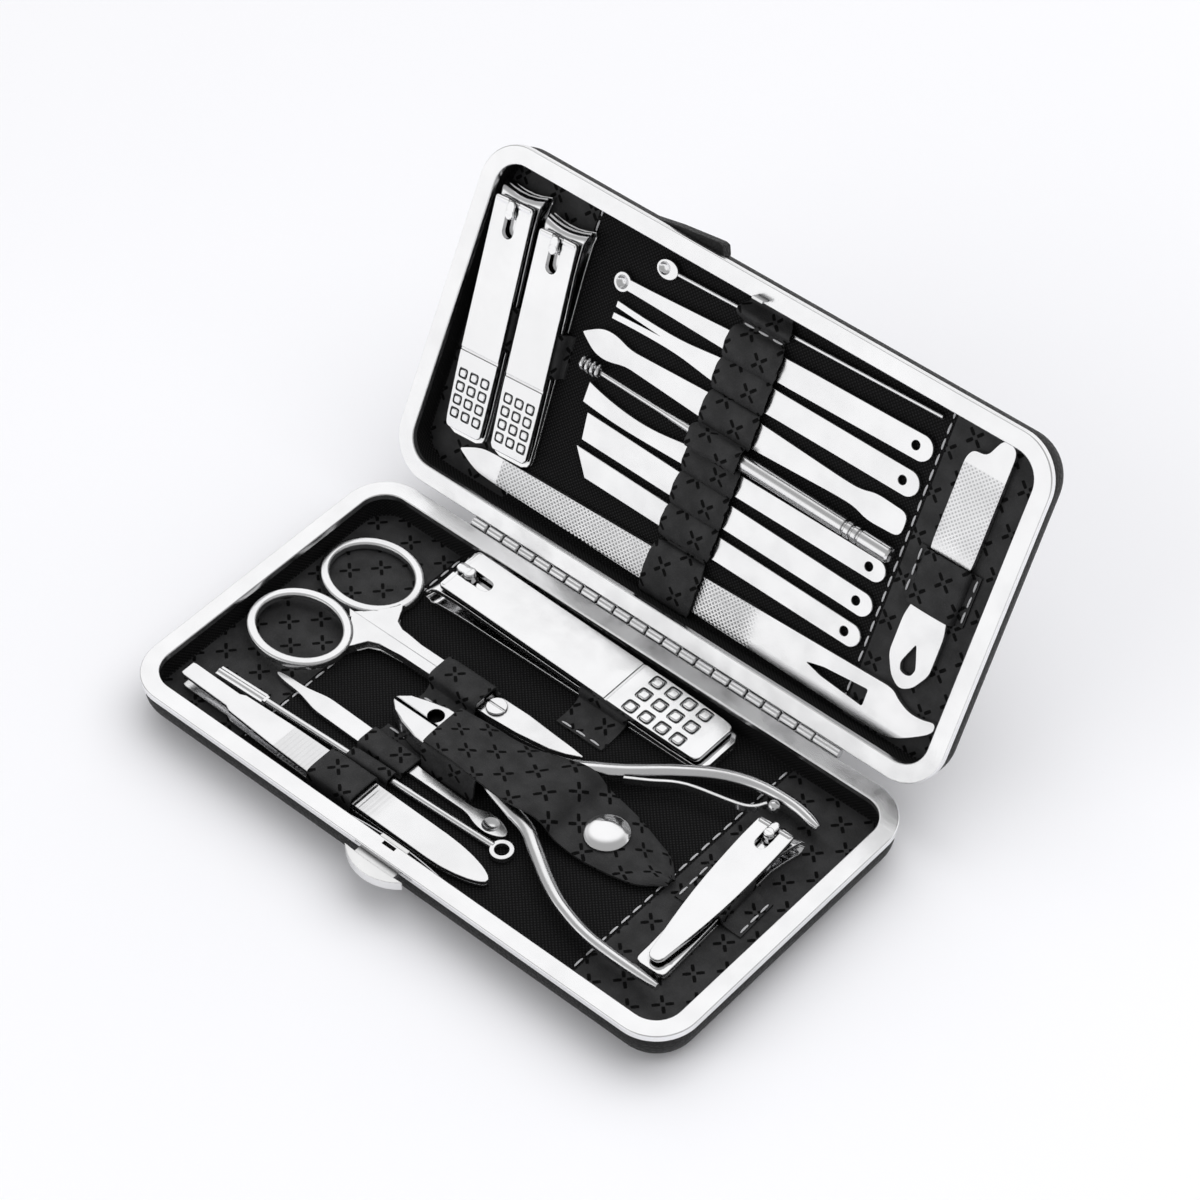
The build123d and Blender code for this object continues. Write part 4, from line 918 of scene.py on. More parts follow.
lidClipper = {
    "width": 10.8, "jawWidth": 11.5, "leaf": 1.1, "rise": 2.9, "gap": 1.2, "pin": 1.25, "inset": 6.4,
}
lidLever = {
    "wide": 11.0, "tail": 10.4, "taper": 40.0, "round": 1.2, "sheet": 1.2, "slot": 7.6,
    "pitch": 3.3, "pad": 2.3,
}
clipperSizes = {
    "large_clipper": makeClipper(
        length=82.5, width=13.4, jawWidth=14.4, leaf=1.4, rise=3.2, gap=1.5, pin=1.5, inset=7.2,
        lever={
            "long": 76.0, "wide": 13.6, "tail": 13.0, "taper": 60.0, "round": 1.6, "sheet": 1.3,
            "slot": 8.4, "step": 49.5, "pads": 55.2, "pitch": 4.6, "pad": 3.2,
        },
    ),
    "slim_clipper": makeClipper(
        length=47.0, width=7.6, jawWidth=10.6, leaf=1.0, rise=2.8, gap=1.1, pin=1.2, inset=6.0,
        lever={
            "long": 42.0, "wide": 9.4, "tail": 3.6, "taper": 6.0, "round": 1.5, "sheet": 1.1,
            "slot": 5.6, "belly": 0.75,
        },
    ),
    "lid_clipper_a": makeClipper(
        length=62.5, **lidClipper, lever={**lidLever, "long": 57.0, "step": 37.5, "pads": 43.2}
    ),
    "lid_clipper_b": makeClipper(
        length=59.5, **lidClipper, lever={**lidLever, "long": 54.0, "step": 35.5, "pads": 40.7}
    ),
}
# where each tool's own origin lies in its tray, and how it is turned
spots = {
    "scissors": ("base", -11.76, 7.6, 0),
    "large_clipper": ("base", -47.66, 30.1, 0),
    "nippers": ("base", -29.36, -6.8, 0),
    "spoon_pick": ("base", -57.36, -15.75, -1.2),
    "ring_rod": ("base", -67.76, -23.9, 2.1),
    "tweezers": ("base", -71.16, -30.0, 0.4),
    "slim_clipper": ("base", 59.06, 22.5, -88),
    "lid_clipper_a": ("lid", -69.01, 33.0, -86),
    "lid_clipper_b": ("lid", -55.01, 31.0, -86),
    "coil_extractor": ("lid", 48.36, 0.5, 178.8),
    "leaf_pusher": ("lid", 48.36, 7.7, 179.5),
    "nail_file": ("lid", -65.36, -32.5, 0.33),
    "multi_tool": ("lid", 61.46, 36.5, -90),
}
places = {name: placeOn(*spot) for name, spot in spots.items()}
# where each loop crosses its tool, its width, the tool's half width and top there, and the loop's sewn flaps
loopSizes = {
    "scissors": (-10.2, 14, 3.1, 3.88, (4.2, 1.9)),
    "spoon_pick": (35.5, 14, 2.3, 1.4, (0.9, 3.7)),
    "ring_rod": (45.8, 12, 0.95, 1.8, (1.0, 0.9)),
    "tweezers": (47.7, 13, 3.9, 3.8, (0.6, 1.4)),
    "multi_tool": (36.5, 13, 5.5, 1.6, (2.4, 2.3)),
}
for name, (at, width, half, top, flaps) in loopSizes.items():
    makeLoop(name + "_loop", spots[name][0], name, places[name], at, width, half, top, flaps)
# the same for the clippers, whose own sizes give the half width and the top
clipperLoops = {
    "large_clipper": (53.7, 14, (8.2, 0.5)),
    "slim_clipper": (22.0, 12, (4.4, 5.2)),
    "lid_clipper_a": (33.0, 11, (0.5, 0.5)),
    "lid_clipper_b": (31.0, 11, (0.5, 1.4)),
}
for name, (at, width, flaps) in clipperLoops.items():
    size = clipperSizes[name]
    top = leafTop(size, at) - 0.15
    tray, half = spots[name][0], size["width"] / 2
    makeLoop(name + "_loop", tray, name, places[name], at, width, half, top, flaps, size["slope"])
makeLoop("nipper_sleeve", "base", None, places["nippers"], 22.6, 16.0, 6.3, 6.25, (0.9, 0.9))
print("loops made")

# the band over the thin tools: one puff for each, drawn in at the dips between them
band = {
    "x": -0.54, "crest": 14.2, "dip": 11.4, "sheet": 0.55, "puff": 0.8, "tallPuff": 0.15, "rows": 11,
    "gap": 0.35, "crease": 0.12, "drop": 0.175, "above": 2.6, "below": 1.4, "lowest": -38.3,
    "fromHandle": 48.9, "fromTip": 65.0,  # from the tools' own origins to the band
    "stitched": 6,
}
# each tool's place across the tray and its turn there, then its half width and its height
bandTools = {
    "ear_pick": (33.7, -178.4, 0.6, 1.2),
    "cup_extractor": (25.3, -178.9, 3.0, 1.3),
    "fork_trimmer": (16.7, 179.8, 3.0, 1.3),
    "leaf_pusher": (7.7, 179.5, 3.3, 1.3),
    "coil_extractor": (0.5, 178.8, 2.0, 4.0),
    "curved_knife": (-4.7, 179.6, 2.7, 1.3),
    "straight_knife": (-13.3, 178.6, 3.2, 1.3),
    "angled_knife": (-21.0, 178.9, 3.0, 1.3),
    "nail_file": (-32.5, 0.33, 5.2, 1.5),
}


def bandRows(line, crown):
    rows = []
    for step in range(band["rows"]):
        share = 2 * step / (band["rows"] - 1) - 1
        row = []
        for point in line:
            lift = min(max(point.z / crown, 0), 1.2)
            reach = (band["dip"] + (band["crest"] - band["dip"]) * lift) / 2
            crease = band["crease"] * lift * math.sin(2.1 * point.y + 7 * share) * abs(share)
            drop = band["drop"] * lift * max(abs(share) - 0.75, 0) / 0.25
            level = case["rest"] + point.z + crease - drop
            row.append(Vector((band["x"] + share * reach, point.y, level)))
        rows.append(row)
    return rows


def makeBand():
    place = trays["lid"]["place"]
    lines = []
    for name, (y, degrees, half, top) in bandTools.items():
        if abs(degrees) > 90:
            middle = y + math.sin(math.radians(degrees)) * band["fromHandle"]
        else:
            middle = y + math.tan(math.radians(degrees)) * band["fromTip"]
        lines.append((name, middle, half + 0.3, top))
    dips = [lines[0][1] + lines[0][2] + band["above"]]
    for upper, lower in zip(lines, lines[1:]):
        dips.append((upper[1] - upper[2] + lower[1] + lower[2]) / 2)
    dips.append(max(lines[-1][1] - lines[-1][2] - band["below"], band["lowest"]))
    for (name, middle, half, top), high, low in zip(lines, dips, dips[1:]):
        crown = top + band["gap"]
        puff = band["puff"] if top < 3 else band["tallPuff"]
        points = [(low, 0.0), ((low + middle - half) / 2 - 0.1, 0.16 * crown), (middle - half, crown)]
        points += [(middle, crown + puff), (middle + half, crown)]
        points += [((high + middle + half) / 2 + 0.1, 0.16 * crown), (high, 0.0)]
        line = smoothLine([(0, y, z) for y, z in points], 5)
        bm = bmesh.new()
        slabOver(bm, bandRows(line, crown), band["sheet"])
        piece = finishPiece("band_" + name, bm, "strapSkin", place, None)
        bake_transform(piece)
    lay = shift(0, 0, case["rest"] + band["sheet"])
    for y in (dips[1], dips[-1] + 0.7):
        left, right = band["x"] - band["stitched"], band["x"] + band["stitched"]
        stitchRuns["lid"].append((lay, (left, y), (right, y)))


makeBand()
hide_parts("base_tool_loops")
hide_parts("lid_tool_loops")
print("band made")

# the strap over the nippers, high over the joint and down between the handles to its snap
strap = {
    "under": [(14.8, 7.1), (23.5, 7.75), (30.5, 7.3), (42.5, 6.9), (48.4, 5.43), (54.6, 1.6), (78.4, 1.35)],
    "upper": [(14.8, 6.0), (30.5, 6.9), (39.5, 9.3), (48.5, 12.9), (59.9, 12.1), (70.0, 9.2)]
    + [(74.5, 7.6), (78.4, 3.4)],
    "lower": [(14.8, -6.0), (30.5, -6.7), (39.5, -6.9), (48.5, -5.3), (59.9, -5.1), (70.0, -3.4)]
    + [(74.5, -1.6), (78.4, 2.0)],
    "sheet": 1.05, "wide": 16.5, "rows": 60, "columns": 18, "crown": 0.3, "ripple": 0.08, "drop": 0.18,
    "bend": (29.6, 32.4), "bendHigh": 6,
}


def makeStrap():
    sampled = {}
    for key in ("upper", "lower", "under"):
        sampled[key] = [(point.x, point.y) for point in smoothLine([(x, y, 0) for x, y in strap[key]], 8)]
    start, stop = strap["under"][0][0], strap["under"][-1][0]
    last, edge = strap["rows"], strap["columns"]
    rows = []
    for step in range(last + 1):
        x = start + (stop - start) * step / last
        high, low, level = (between(table, x) for table in sampled.values())
        row = []
        for column in range(edge + 1):
            share = 2 * column / edge - 1
            y = (high + low) / 2 + share * (high - low) / 2
            crown = strap["crown"] * (1 - share * share)
            ripple = strap["ripple"] * noise.noise(Vector((x * 0.16, y * 0.2, 3.0)))
            drop = strap["drop"] * max(abs(share) - 0.7, 0) / 0.3
            row.append(Vector((x, y, level + crown + ripple - drop)))
        rows.append(row)
    bm = bmesh.new()
    slabOver(bm, rows, lambda i, j: strap["sheet"] * (0.75 if i in (0, last) or j in (0, edge) else 1.0))
    place = places["nippers"]
    piece = finishPiece("strap_tongue", bm, "strapSkin", place, None)
    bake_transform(piece)
    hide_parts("strap")


snap = {"x": 59.9, "y": 3.4, "low": 2.75, "radius": 5.2}


def makeSnap():
    bm = bmesh.new()
    radius, low = snap["radius"], snap["low"]
    profile = [(radius - 0.5, low), (radius, low + 0.1), (radius + 0.02, low + 0.35)]
    profile += [(radius - 0.12, low + 0.5), (radius * 0.9, low + 0.62), (radius * 0.8, low + 0.85)]
    profile += [(radius * 0.6, low + 1.15), (radius * 0.35, low + 1.35), (0.4, low + 1.42)]
    place = shift(snap["x"], snap["y"])
    turnProfile(bm, profile, 36, place)
    turnProfile(bm, [(1.3, 1.0), (1.3, low + 0.1)], 20, place)
    turnProfile(bm, [(2.0, 0.72), (3.3, 0.74), (3.5, 0.9), (3.4, 1.32), (2.2, 1.34)], 28, place)
    piece = finishPiece("snap_dome", bm, "snapChrome", places["nippers"], "nipper_strap")
    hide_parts("snap_cap")


makeStrap()
makeSnap()
print("strap and snap made")


# clippers
def widthAt(clipper, x):
    half, jaw = clipper["width"] / 2, clipper["jawWidth"] / 2
    corner = 0.35 * half
    tail = clipper["length"] - corner
    if x > tail:
        reach = (x - tail) / corner
        return half - corner * (1 - math.sqrt(max(1 - reach * reach, 0)))
    flare = [(0, 1.08 * jaw), (1.5, 1.06 * jaw), (3.5, 0.98 * jaw), (6, 0.5 * (jaw + half)), (10, half)]
    return between(flare + [(tail, half)], x)


def leafRows(bm, clipper, upper):
    leaf, edge, gap = clipper["leaf"], clipper["edge"], clipper["gap"]
    length, root, rise = clipper["length"], clipper["root"], clipper["rise"]
    half = leaf / 2
    if upper:
        flat, front = leaf + leafGap + half, leaf + rise + half
        line = [(length, flat), (root + 4, flat), (root, flat + 0.01), (root * 0.5, (flat + front) / 2)]
        line += [(clipper["inset"] + 2, front - 0.1), (3.2, front), (1.7, front - 0.25)]
        line += [(0.95, front - 0.9 * leaf), (0.62, edge + gap + 0.3), (0.5, edge + gap)]
    else:
        line = [(length, half), (root, half), (root * 0.5, half), (clipper["inset"] + 2, half), (3.2, half)]
        line += [(1.7, half + 0.2), (0.95, half + 0.75 * leaf), (0.62, edge - 0.3), (0.5, edge)]
    path = smoothLine([(x, 0, z) for x, z in line], 5)
    sections = []
    for point in path:
        near = min(max((3.0 - point.x) / 2.4, 0), 1)
        sections.append(barSection(widthAt(clipper, point.x), half * (1 - 0.72 * near), 0.24, 0.05))
    sweepBar(bm, path, (0, 1, 0), sections)
    jaw = 1.08 * clipper["jawWidth"] / 2
    for vert in bm.verts:
        near = min(max((5 - vert.co.x) / 4, 0), 1)
        vert.co.x += 1.1 * near * (1 - (vert.co.y / jaw) ** 2)


def discAt(x, y, low, high, radius, count=28):
    bm = bmesh.new()
    turnProfile(bm, [(radius, low), (radius, high)], count, shift(x, y))
    return bm


def slotCutter(reach, half, low, high):
    outline = []
    for end, start in ((1, -90), (-1, 90)):
        for step in range(9):
            angle = math.radians(start + 22.5 * step)
            outline.append((end * (reach - half) + half * math.cos(angle), half * math.sin(angle)))
    return prism(outline, low, high)


def leverPlan(size):
    half, tail, taper, radius = size["wide"] / 2, size["tail"] / 2, size["taper"], size["round"]
    front, flat = lever["front"], size["long"] - radius
    outline = [(-front, 0.0)]
    for degrees in (22, 45, 68, 90):
        angle = math.radians(degrees)
        outline.append((-front * math.cos(angle), half - front + front * math.sin(angle)))
    outline += [(taper, half)]
    for step in range(1, 8):
        share = step / 8
        belly = size.get("belly", 0) * math.sin(math.pi * share)
        outline.append((taper + (flat - taper) * share, half + (tail - half) * share + belly))
    for step in range(5):
        angle = math.radians(90 - 22.5 * step)
        outline.append((flat + radius * math.cos(angle), tail - radius + radius * math.sin(angle)))
    return outline + [(x, -y) for x, y in reversed(outline[1:])]


def padPillow(bm, x, y, low, high, size):
    half = size / 2
    rows = []
    for inset, share in ((0.0, 0.0), (0.02, 0.35), (0.1, 0.72), (0.24, 0.93), (0.45, 1.0)):
        ring = [(a * (1 - inset), b * (1 - inset)) for a, b in ovalSection(half, half, 20, 4.2)]
        rows.append([Vector((x + a, y + b, low + (high - low) * share)) for a, b in ring])
    capEnds(bm, skinOver(bm, rows, True))


lever = {
    "front": 0.9, "round": 0.3, "slotGap": 0.35,
    "groove": 0.8, "grooveDeep": 0.5,  # across the lever, where its padded tail starts
    "rows": 4, "columns": 3, "well": 0.4, "wellGap": 0.12,  # the pads, each in its own shallow well
    "root": 0.45, "proud": 0.22, "share": 0.84,
}


def makeLever(name, clipper):
    size = clipper["lever"]
    half, sheet = size["wide"] / 2, size["sheet"]
    top = sheet / 2
    bm = bmesh.new()
    plateOver(bm, leverPlan(size), -top, top, lever["round"])
    bm = carve(bm, slotCutter(bar["radius"] + size["slot"], clipper["pin"] + lever["slotGap"], -sheet, sheet))
    if "step" in size:
        groove = bmesh.new()
        bmesh.ops.create_cube(groove, size=1.0)
        across = Matrix.Diagonal((lever["groove"], size["wide"] + 1, lever["grooveDeep"], 1))
        bmesh.ops.transform(groove, matrix=shift(size["step"], 0, top) @ across, verts=groove.verts)
        bm = carve(bm, groove)
        pads = []
        for row in range(lever["rows"]):
            for column in range(lever["columns"]):
                pads.append((size["pads"] + row * size["pitch"], (column - 1) * size["pitch"]))
        reach = size["pad"] / 2 + lever["wellGap"]
        for x, y in pads:
            well = [(x + a, y + b) for a, b in ovalSection(reach, reach, 20, 5.0)]
            bm = carve(bm, prism(well, top - lever["well"], top + lever["well"]))
        for x, y in pads:
            padPillow(bm, x, y, top - lever["root"], top + lever["proud"], size["pad"] * lever["share"])
    rod = [Vector((0, y, 0)) for y in (-half + 0.3, -half + 0.6, half - 0.6, half - 0.3)]
    full, end = (ovalSection(radius, radius, 14, 2.0) for radius in (bar["radius"], bar["end"]))
    sweepBar(bm, rod, (1, 0, 0), [end, full, full, end])
    lay = shift(clipper["bar"], 0, clipper["barHigh"]) @ Matrix.Rotation(clipper["slope"], 4, "Y")
    finishShape(name + "_lever", bm, "clipperChrome", places[name] @ lay, name + "_arm", 30)


def makeLeaves(name, clipper):
    radius = clipper["pin"] + bar["hole"]
    for upper, body, node in ((False, name, "_lower_leaf"), (True, name + "_top", "_upper_leaf")):
        bm = bmesh.new()
        leafRows(bm, clipper, upper)
        bm = carve(bm, discAt(clipper["inset"], 0, -1, 2 * clipper["barHigh"], radius))
        if not upper:
            bm = carve(bm, discAt(clipper["inset"], 0, -1, 0.53, radius + bar["foot"]))
        finishShape(name + node, bm, "clipperChrome", places[name], body)


def makePin(name, clipper):
    radius, inset, foot = clipper["pin"], clipper["inset"], clipper["pin"] + bar["foot"]
    top, neck = clipper["barHigh"] + bar["radius"] + bar["over"] + bar["head"], 0.86 * radius
    profile = [(0.4, 0), (foot - 0.05, 0), (foot, 0.08), (foot, 0.42), (foot - 0.1, 0.5), (radius, 0.52)]
    profile += [(radius, top - 1.3), (neck, top - 1.1), (neck, top - 0.9), (radius, top - 0.75)]
    profile += [(radius, top - 0.25), (radius * 0.85, top - 0.04), (radius * 0.4, top)]
    bm = bmesh.new()
    turnProfile(bm, profile, 28, shift(inset))
    start = clipper["bar"] - bar["radius"]
    hook = [Vector((x, 0, top - 0.42)) for x in (start, start + 0.3, start + 0.9, inset)]
    sections = [barSection(0.85 * radius * share, 0.38, 0.2, 0.06) for share in (0.6, 0.85, 1, 1)]
    sweepBar(bm, hook, (0, 1, 0), sections)
    finishShape(name + "_pin", bm, "clipperChrome", places[name], name)


for name, clipper in clipperSizes.items():
    makeLeaves(name, clipper)
    makePin(name, clipper)
    makeLever(name, clipper)
print("clippers made")


# scissors
scissors = {
    "ringX": -49.8, "ringY": 11.8, "long": 13.2, "wide": 11.0, "wire": 2.4, "steps": 48,
    "pivot": 3.1, "screw": 1.3,
}


def makeScissorHalf(name, side, low, high, ringLow, body):
    bm = bmesh.new()
    half, pivot = scissors["wire"] / 2, scissors["pivot"]
    spine = []
    for step in range(scissors["steps"]):
        angle = math.tau * step / scissors["steps"]
        x = scissors["ringX"] + (scissors["long"] - half) * math.cos(angle)
        y = side * scissors["ringY"] + (scissors["wide"] - half) * math.sin(angle)
        spine.append(Vector((x, y, ringLow + half)))
    sweepClosed(bm, spine, (0, 0, 1), ovalSection(half, half * 1.02, 16, 3.6))
    shankLow = 0 if side > 0 else low
    web = [(-45.5, 0.11), (-3.7, 0.11), (-3.7, 3.1), (-12, 3.05), (-26, 3.1), (-32.5, 3.4), (-35.2, 4.6)]
    web += [(-36.6, 7.0), (-37.1, 9.6), (-38.4, 9.4), (-38.9, 6.6), (-40.6, 4.0), (-43.4, 2.2)]
    plateOver(bm, [(x, side * y) for x, y in web], shankLow, shankLow + scissors["wire"], 0.45)
    edge = [(0, pivot), (7, 3.0), (14.4, 2.5), (20, 2.2), (24, 1.9), (24, 1.4), (20.5, -0.1), (16.8, -1.5)]
    edge += [(8, -2.6), (0, -pivot)]
    arm = [(-6.6, 0.03), (-6.6, pivot)] if side > 0 else [(-6.6, -pivot), (-6.6, -0.03)]
    turns = [math.radians(a) for a in ((-112, -135, -158, -178) if side > 0 else (178, 158, 135, 112))]
    heel = [(pivot * math.cos(turn), pivot * math.sin(turn)) for turn in turns]
    shape = bmesh.new()
    plateOver(shape, arm + edge + heel if side > 0 else edge + arm + heel, low, high, 0.22)
    addShape(bm, carve(shape, discAt(0, 0, -1, 8, scissors["screw"])))
    finishShape(name, bm, "toolSteel", places["scissors"], body)


makeScissorHalf("scissors_half_a", 1, 0.0, 1.45, 0.0, "scissors")
makeScissorHalf("scissors_half_b", -1, 1.48, 2.93, 2.05, "scissors_second_half")

# nippers, beak at their origin
nippers = {
    "pivot": 21.5, "jaw": 15.0, "half": 5.6, "joint": 5.6, "layer": 2.9, "thick": 5.83, "reach": 74.0,
    "level": 3.6, "pit": (10.8, 1.8), "open": -1.3,
}
# each handle's course, in shares of its reach and of its spread, and that spread
courses = {
    1: (
        [(0, 0), (0.16, 0.17), (0.31, 0.39), (0.41, 0.54), (0.518, 0.733), (0.634, 0.9), (0.75, 0.985)]
        + [(0.88, 1.0), (0.98, 0.955)],
        35.2,
    ),
    -1: (
        [(0, 0), (0.16, 0.175), (0.27, 0.28), (0.34, 0.35), (0.42, 0.52), (0.52, 0.73), (0.62, 0.88)]
        + [(0.76, 0.985), (1.0, 1.0)],
        -21.2,
    ),
}


def handlePath(side):
    course, spread = courses[side]
    start, reach, level = nippers["pivot"], nippers["reach"], nippers["level"]
    return [Vector((start + x * reach, y * spread, level)) for x, y in course]


def onEdge(section):
    return [(b, a) for a, b in section]


def makeNipperHalf(name, side, low, body):
    bm = bmesh.new()
    half, jaw, pivot, joint, layer = (nippers[key] for key in ("half", "jaw", "pivot", "joint", "layer"))
    outline = [(0.0, 0.04), (0.4, 0.9), (2.6, 2.35), (6.0, 4.03), (11.25, 5.43), (jaw, half), (jaw, 0.04)]
    outline = [(x, -side * y) for x, y in outline]
    shape = bmesh.new()
    plateOver(shape, outline, 0, nippers["thick"], 0.5)
    bridge = [(jaw - 2, 0.04), (pivot, 0.04), (pivot, joint - 0.1), (jaw - 2, half - 0.1)]
    if side < 0:
        shape = carve(shape, discAt(*nippers["pit"], nippers["thick"] - 1.9, 9, 2.0))
        about = shift(pivot) @ turned(nippers["open"]) @ shift(-pivot)
        bmesh.ops.transform(shape, matrix=about, verts=shape.verts)
        # painted shade: a black cup lines the pit, standing in for the shade inside it
        shadeCup = bmesh.new()
        cup = [(1.96, 4.0), (1.96, 5.5), (1.8, 5.5), (1.7, 4.2)]
        turnProfile(shadeCup, cup, 32, about @ shift(*nippers["pit"]))
        finishPiece("nipper_pit_shade", shadeCup, "pitBlack", places["nippers"], body, weighted=True)
    addShape(bm, shape)
    top = low + layer
    plateOver(bm, [(x, -side * y) for x, y in bridge], low, top, 0.3)
    disc = [(joint - 0.4, low), (joint, low + 0.4), (joint, top - 0.5), (joint - 0.5, top)]
    turnProfile(bm, disc, 40, shift(pivot))
    line = smoothLine(handlePath(side))
    sections = []
    for index in range(len(line)):
        share = index / (len(line) - 1)
        taper = 1 - 0.5 * max((share - 0.92) / 0.08, 0) ** 2
        sections.append(onEdge(ovalSection((2.0 - 0.6 * share) * taper, 1.25 * (0.5 + 0.5 * taper), 16, 1.8)))
    start = next(index for index, point in enumerate(line) if point.x > pivot + 4.6)
    sweepBar(bm, line[start:], (0, 0, 1), sections[start:])
    root = [Vector((point.x, point.y, low + layer / 2)) for point in line if point.x < pivot + 8.6]
    sweepBar(bm, root, (0, 0, 1), [onEdge(ovalSection(2.3, layer / 2 - 0.05, 14, 3.0))] * len(root))
    finishShape(name, bm, "toolSteel", places["nippers"], body, crease=34)


def makeNipperSpring():
    bm = bmesh.new()
    run = handlePath(1)
    start, middle, later, last = run[3], run[5], run[6], run[7]
    points = [(start.x + 1.3, start.y - 2.4), (start.x + 6.0, start.y + 0.6)]
    points += [(middle.x - 3.6, middle.y - 7.6), (later.x + 1.0, later.y - 7.0), (last.x - 5.2, last.y - 3.8)]
    line = smoothLine([(x, y, nippers["level"]) for x, y in points])
    sweepBar(bm, line, (0, 0, 1), [onEdge(barSection(0.4, 1.0, 0.15))] * len(line))
    ballAt(bm, last.x - 3.8, last.y - 3.1, nippers["level"], 1.5)
    finishShape("nipper_spring", bm, "toolSteel", places["nippers"], "case_base", crease=34)


makeNipperHalf("nipper_half_a", 1, 0.0, "case_base")
makeNipperHalf("nipper_half_b", -1, 2.93, "nipper_second_half")
makeNipperSpring()
print("scissors and nippers made")

# flat tools cut from sheet
sheetTools = {
    "spoon_pick": {
        "look": "toolSteel", "sheet": 1.4, "corner": 1.6, "bowl": (66.4, 3.6, 3.0),
        "half": [(0, 0.35), (3, 0.85), (8, 1.05), (14.2, 2.4), (28.4, 2.4), (44.0, 1.35), (60.0, 0.95)]
        + [(63.5, 2.2), (67, 2.5), (69.8, 1.5), (71, 0.5)],
    },
    "leaf_pusher": {
        "look": "toolSteel", "sheet": 1.3, "corner": 2.2,
        "half": [(0, 2.9), (9, 3.3), (13, 2.1), (18, 2.1), (42, 3.2), (56, 3.1), (79, 2.0), (84, 3.4)]
        + [(88, 3.1), (92.5, 0.2)],
    },
    "nail_file": {
        "look": "fileSteel", "sheet": 1.5, "corner": 2.4,
        "outline": [(0, -0.3), (0, 0.3), (5.5, 2.9), (10, 3.3), (125.5, 5.5), (127.6, 3.9), (131, 2.5)]
        + [(134.6, 2.6), (138, 3.7), (138.2, 1.1), (134.4, -1.9), (130.4, -4.5), (127.4, -5.5)]
        + [(121.5, -5.5), (10, -3.3), (5.5, -2.9)],
        "hole": [(103.5, 0.0), (108, 1.1), (120, 2.1), (120, -2.1), (108, -1.1)],
    },
    "multi_tool": {
        "look": "scraperSteel", "sheet": 1.6, "corner": 1.5,
        "outline": [(0.8, 1.1), (0, 2.5), (0.6, 4.7), (2.2, 5.5), (29, 5.5), (34.6, 4.3), (42, 4.5)]
        + [(46.4, 5.5), (55.8, 5.5), (60.2, 3.1), (61.8, 0.8), (61.8, -0.8), (60.2, -3.1), (55.8, -5.5)]
        + [(46.4, -5.5), (42, -4.5), (34.6, -4.3), (29, -5.5), (7.6, -5.5), (5.4, -4.3), (5.2, -0.9)],
        "hole": [(51.0, 0.0), (54.6, 1.4), (56.4, 2.0), (58.1, 1.4), (58.5, 0.0), (58.1, -1.4), (56.4, -2.0)]
        + [(54.6, -1.4)],
    },
}


def softCorners(points, corner):
    points = [Vector(point) for point in points]
    outline = []
    for index, point in enumerate(points):
        before, after = points[index - 1], points[(index + 1) % len(points)]
        start = point + (before - point).normalized() * min(corner, 0.45 * (before - point).length)
        stop = point + (after - point).normalized() * min(corner, 0.45 * (after - point).length)
        for step in range(5):
            t = step / 4
            outline.append(start * (1 - t) ** 2 + point * 2 * t * (1 - t) + stop * t * t)
    return outline


def makeSheetTool(name):
    size = sheetTools[name]
    outline = size.get("outline")
    if not outline:
        outline = size["half"] + [(x, -y) for x, y in reversed(size["half"])]
    bm = prism(softCorners(outline, size["corner"]), 0, size["sheet"])
    if "hole" in size:
        bm = carve(bm, prism(softCorners(size["hole"], 0.6), -1, size["sheet"] + 1))
    bmesh.ops.dissolve_limit(bm, angle_limit=0.01, verts=bm.verts, edges=bm.edges)
    rims = [edge for edge in bm.edges if edge.calc_face_angle(0) > math.radians(60)]
    roundEdges(bm, rims, 0.18)
    if "bowl" in size:
        x, level, radius = size["bowl"]
        bowl = bmesh.new()
        ballAt(bowl, x, 0, level, radius, 36)
        bm = carve(bm, bowl)
    flatUv(bm)
    finishShape(name, bm, size["look"], places[name], name)


for name in sheetTools:
    makeSheetTool(name)
print("flat tools made")

# tweezers and the coil tool
tweezers = {"long": 91.0, "end": 90.4, "steps": 64, "sheet": 1.0, "gap": 0.03, "joined": 80.0, "raise": 3.0}
tweezers["half"] = [(0, 1.9), (0.6, 2.1), (14.6, 2.2), (15.4, 2.85), (30, 3.6), (42, 3.9), (76, 3.9)]
tweezers["half"] += [(80, 3.7), (83.5, 3.2), (86.5, 2.5), (88.8, 1.7), (90, 1.0), (tweezers["end"], 0.5)]


def makeTweezerArm(name, upper, body):
    bm = bmesh.new()
    half, end = tweezers["sheet"] / 2, tweezers["end"]
    stations = {round(tweezers["long"] * step / tweezers["steps"], 3) for step in range(tweezers["steps"])}
    line, sections = [], []
    for x in sorted(station for station in stations | {0.8, end} if station <= end):
        level = half
        if upper:
            level = 3 * half + tweezers["gap"] + tweezers["raise"] * max(1 - x / tweezers["joined"], 0)
        line.append(Vector((x, 0, level)))
        sections.append(barSection(between(tweezers["half"], x), half, 0.22, 0.06 if upper else 0.0))
    sweepBar(bm, line, (0, -1, 0), sections)
    finishShape(name, bm, "gripSteel", places["tweezers"], body, crease=34)


makeTweezerArm("tweezer_lower_arm", False, "tweezers")
makeTweezerArm("tweezer_upper_arm", True, "tweezers_second_arm")

coil = {
    "radius": 2.0, "grooves": (8.5, 10.5, 12.5), "reach": 85.5, "turns": 4.0, "pitch": 1.5, "coil": 1.35,
    "wire": 0.45, "steps": 96,
}


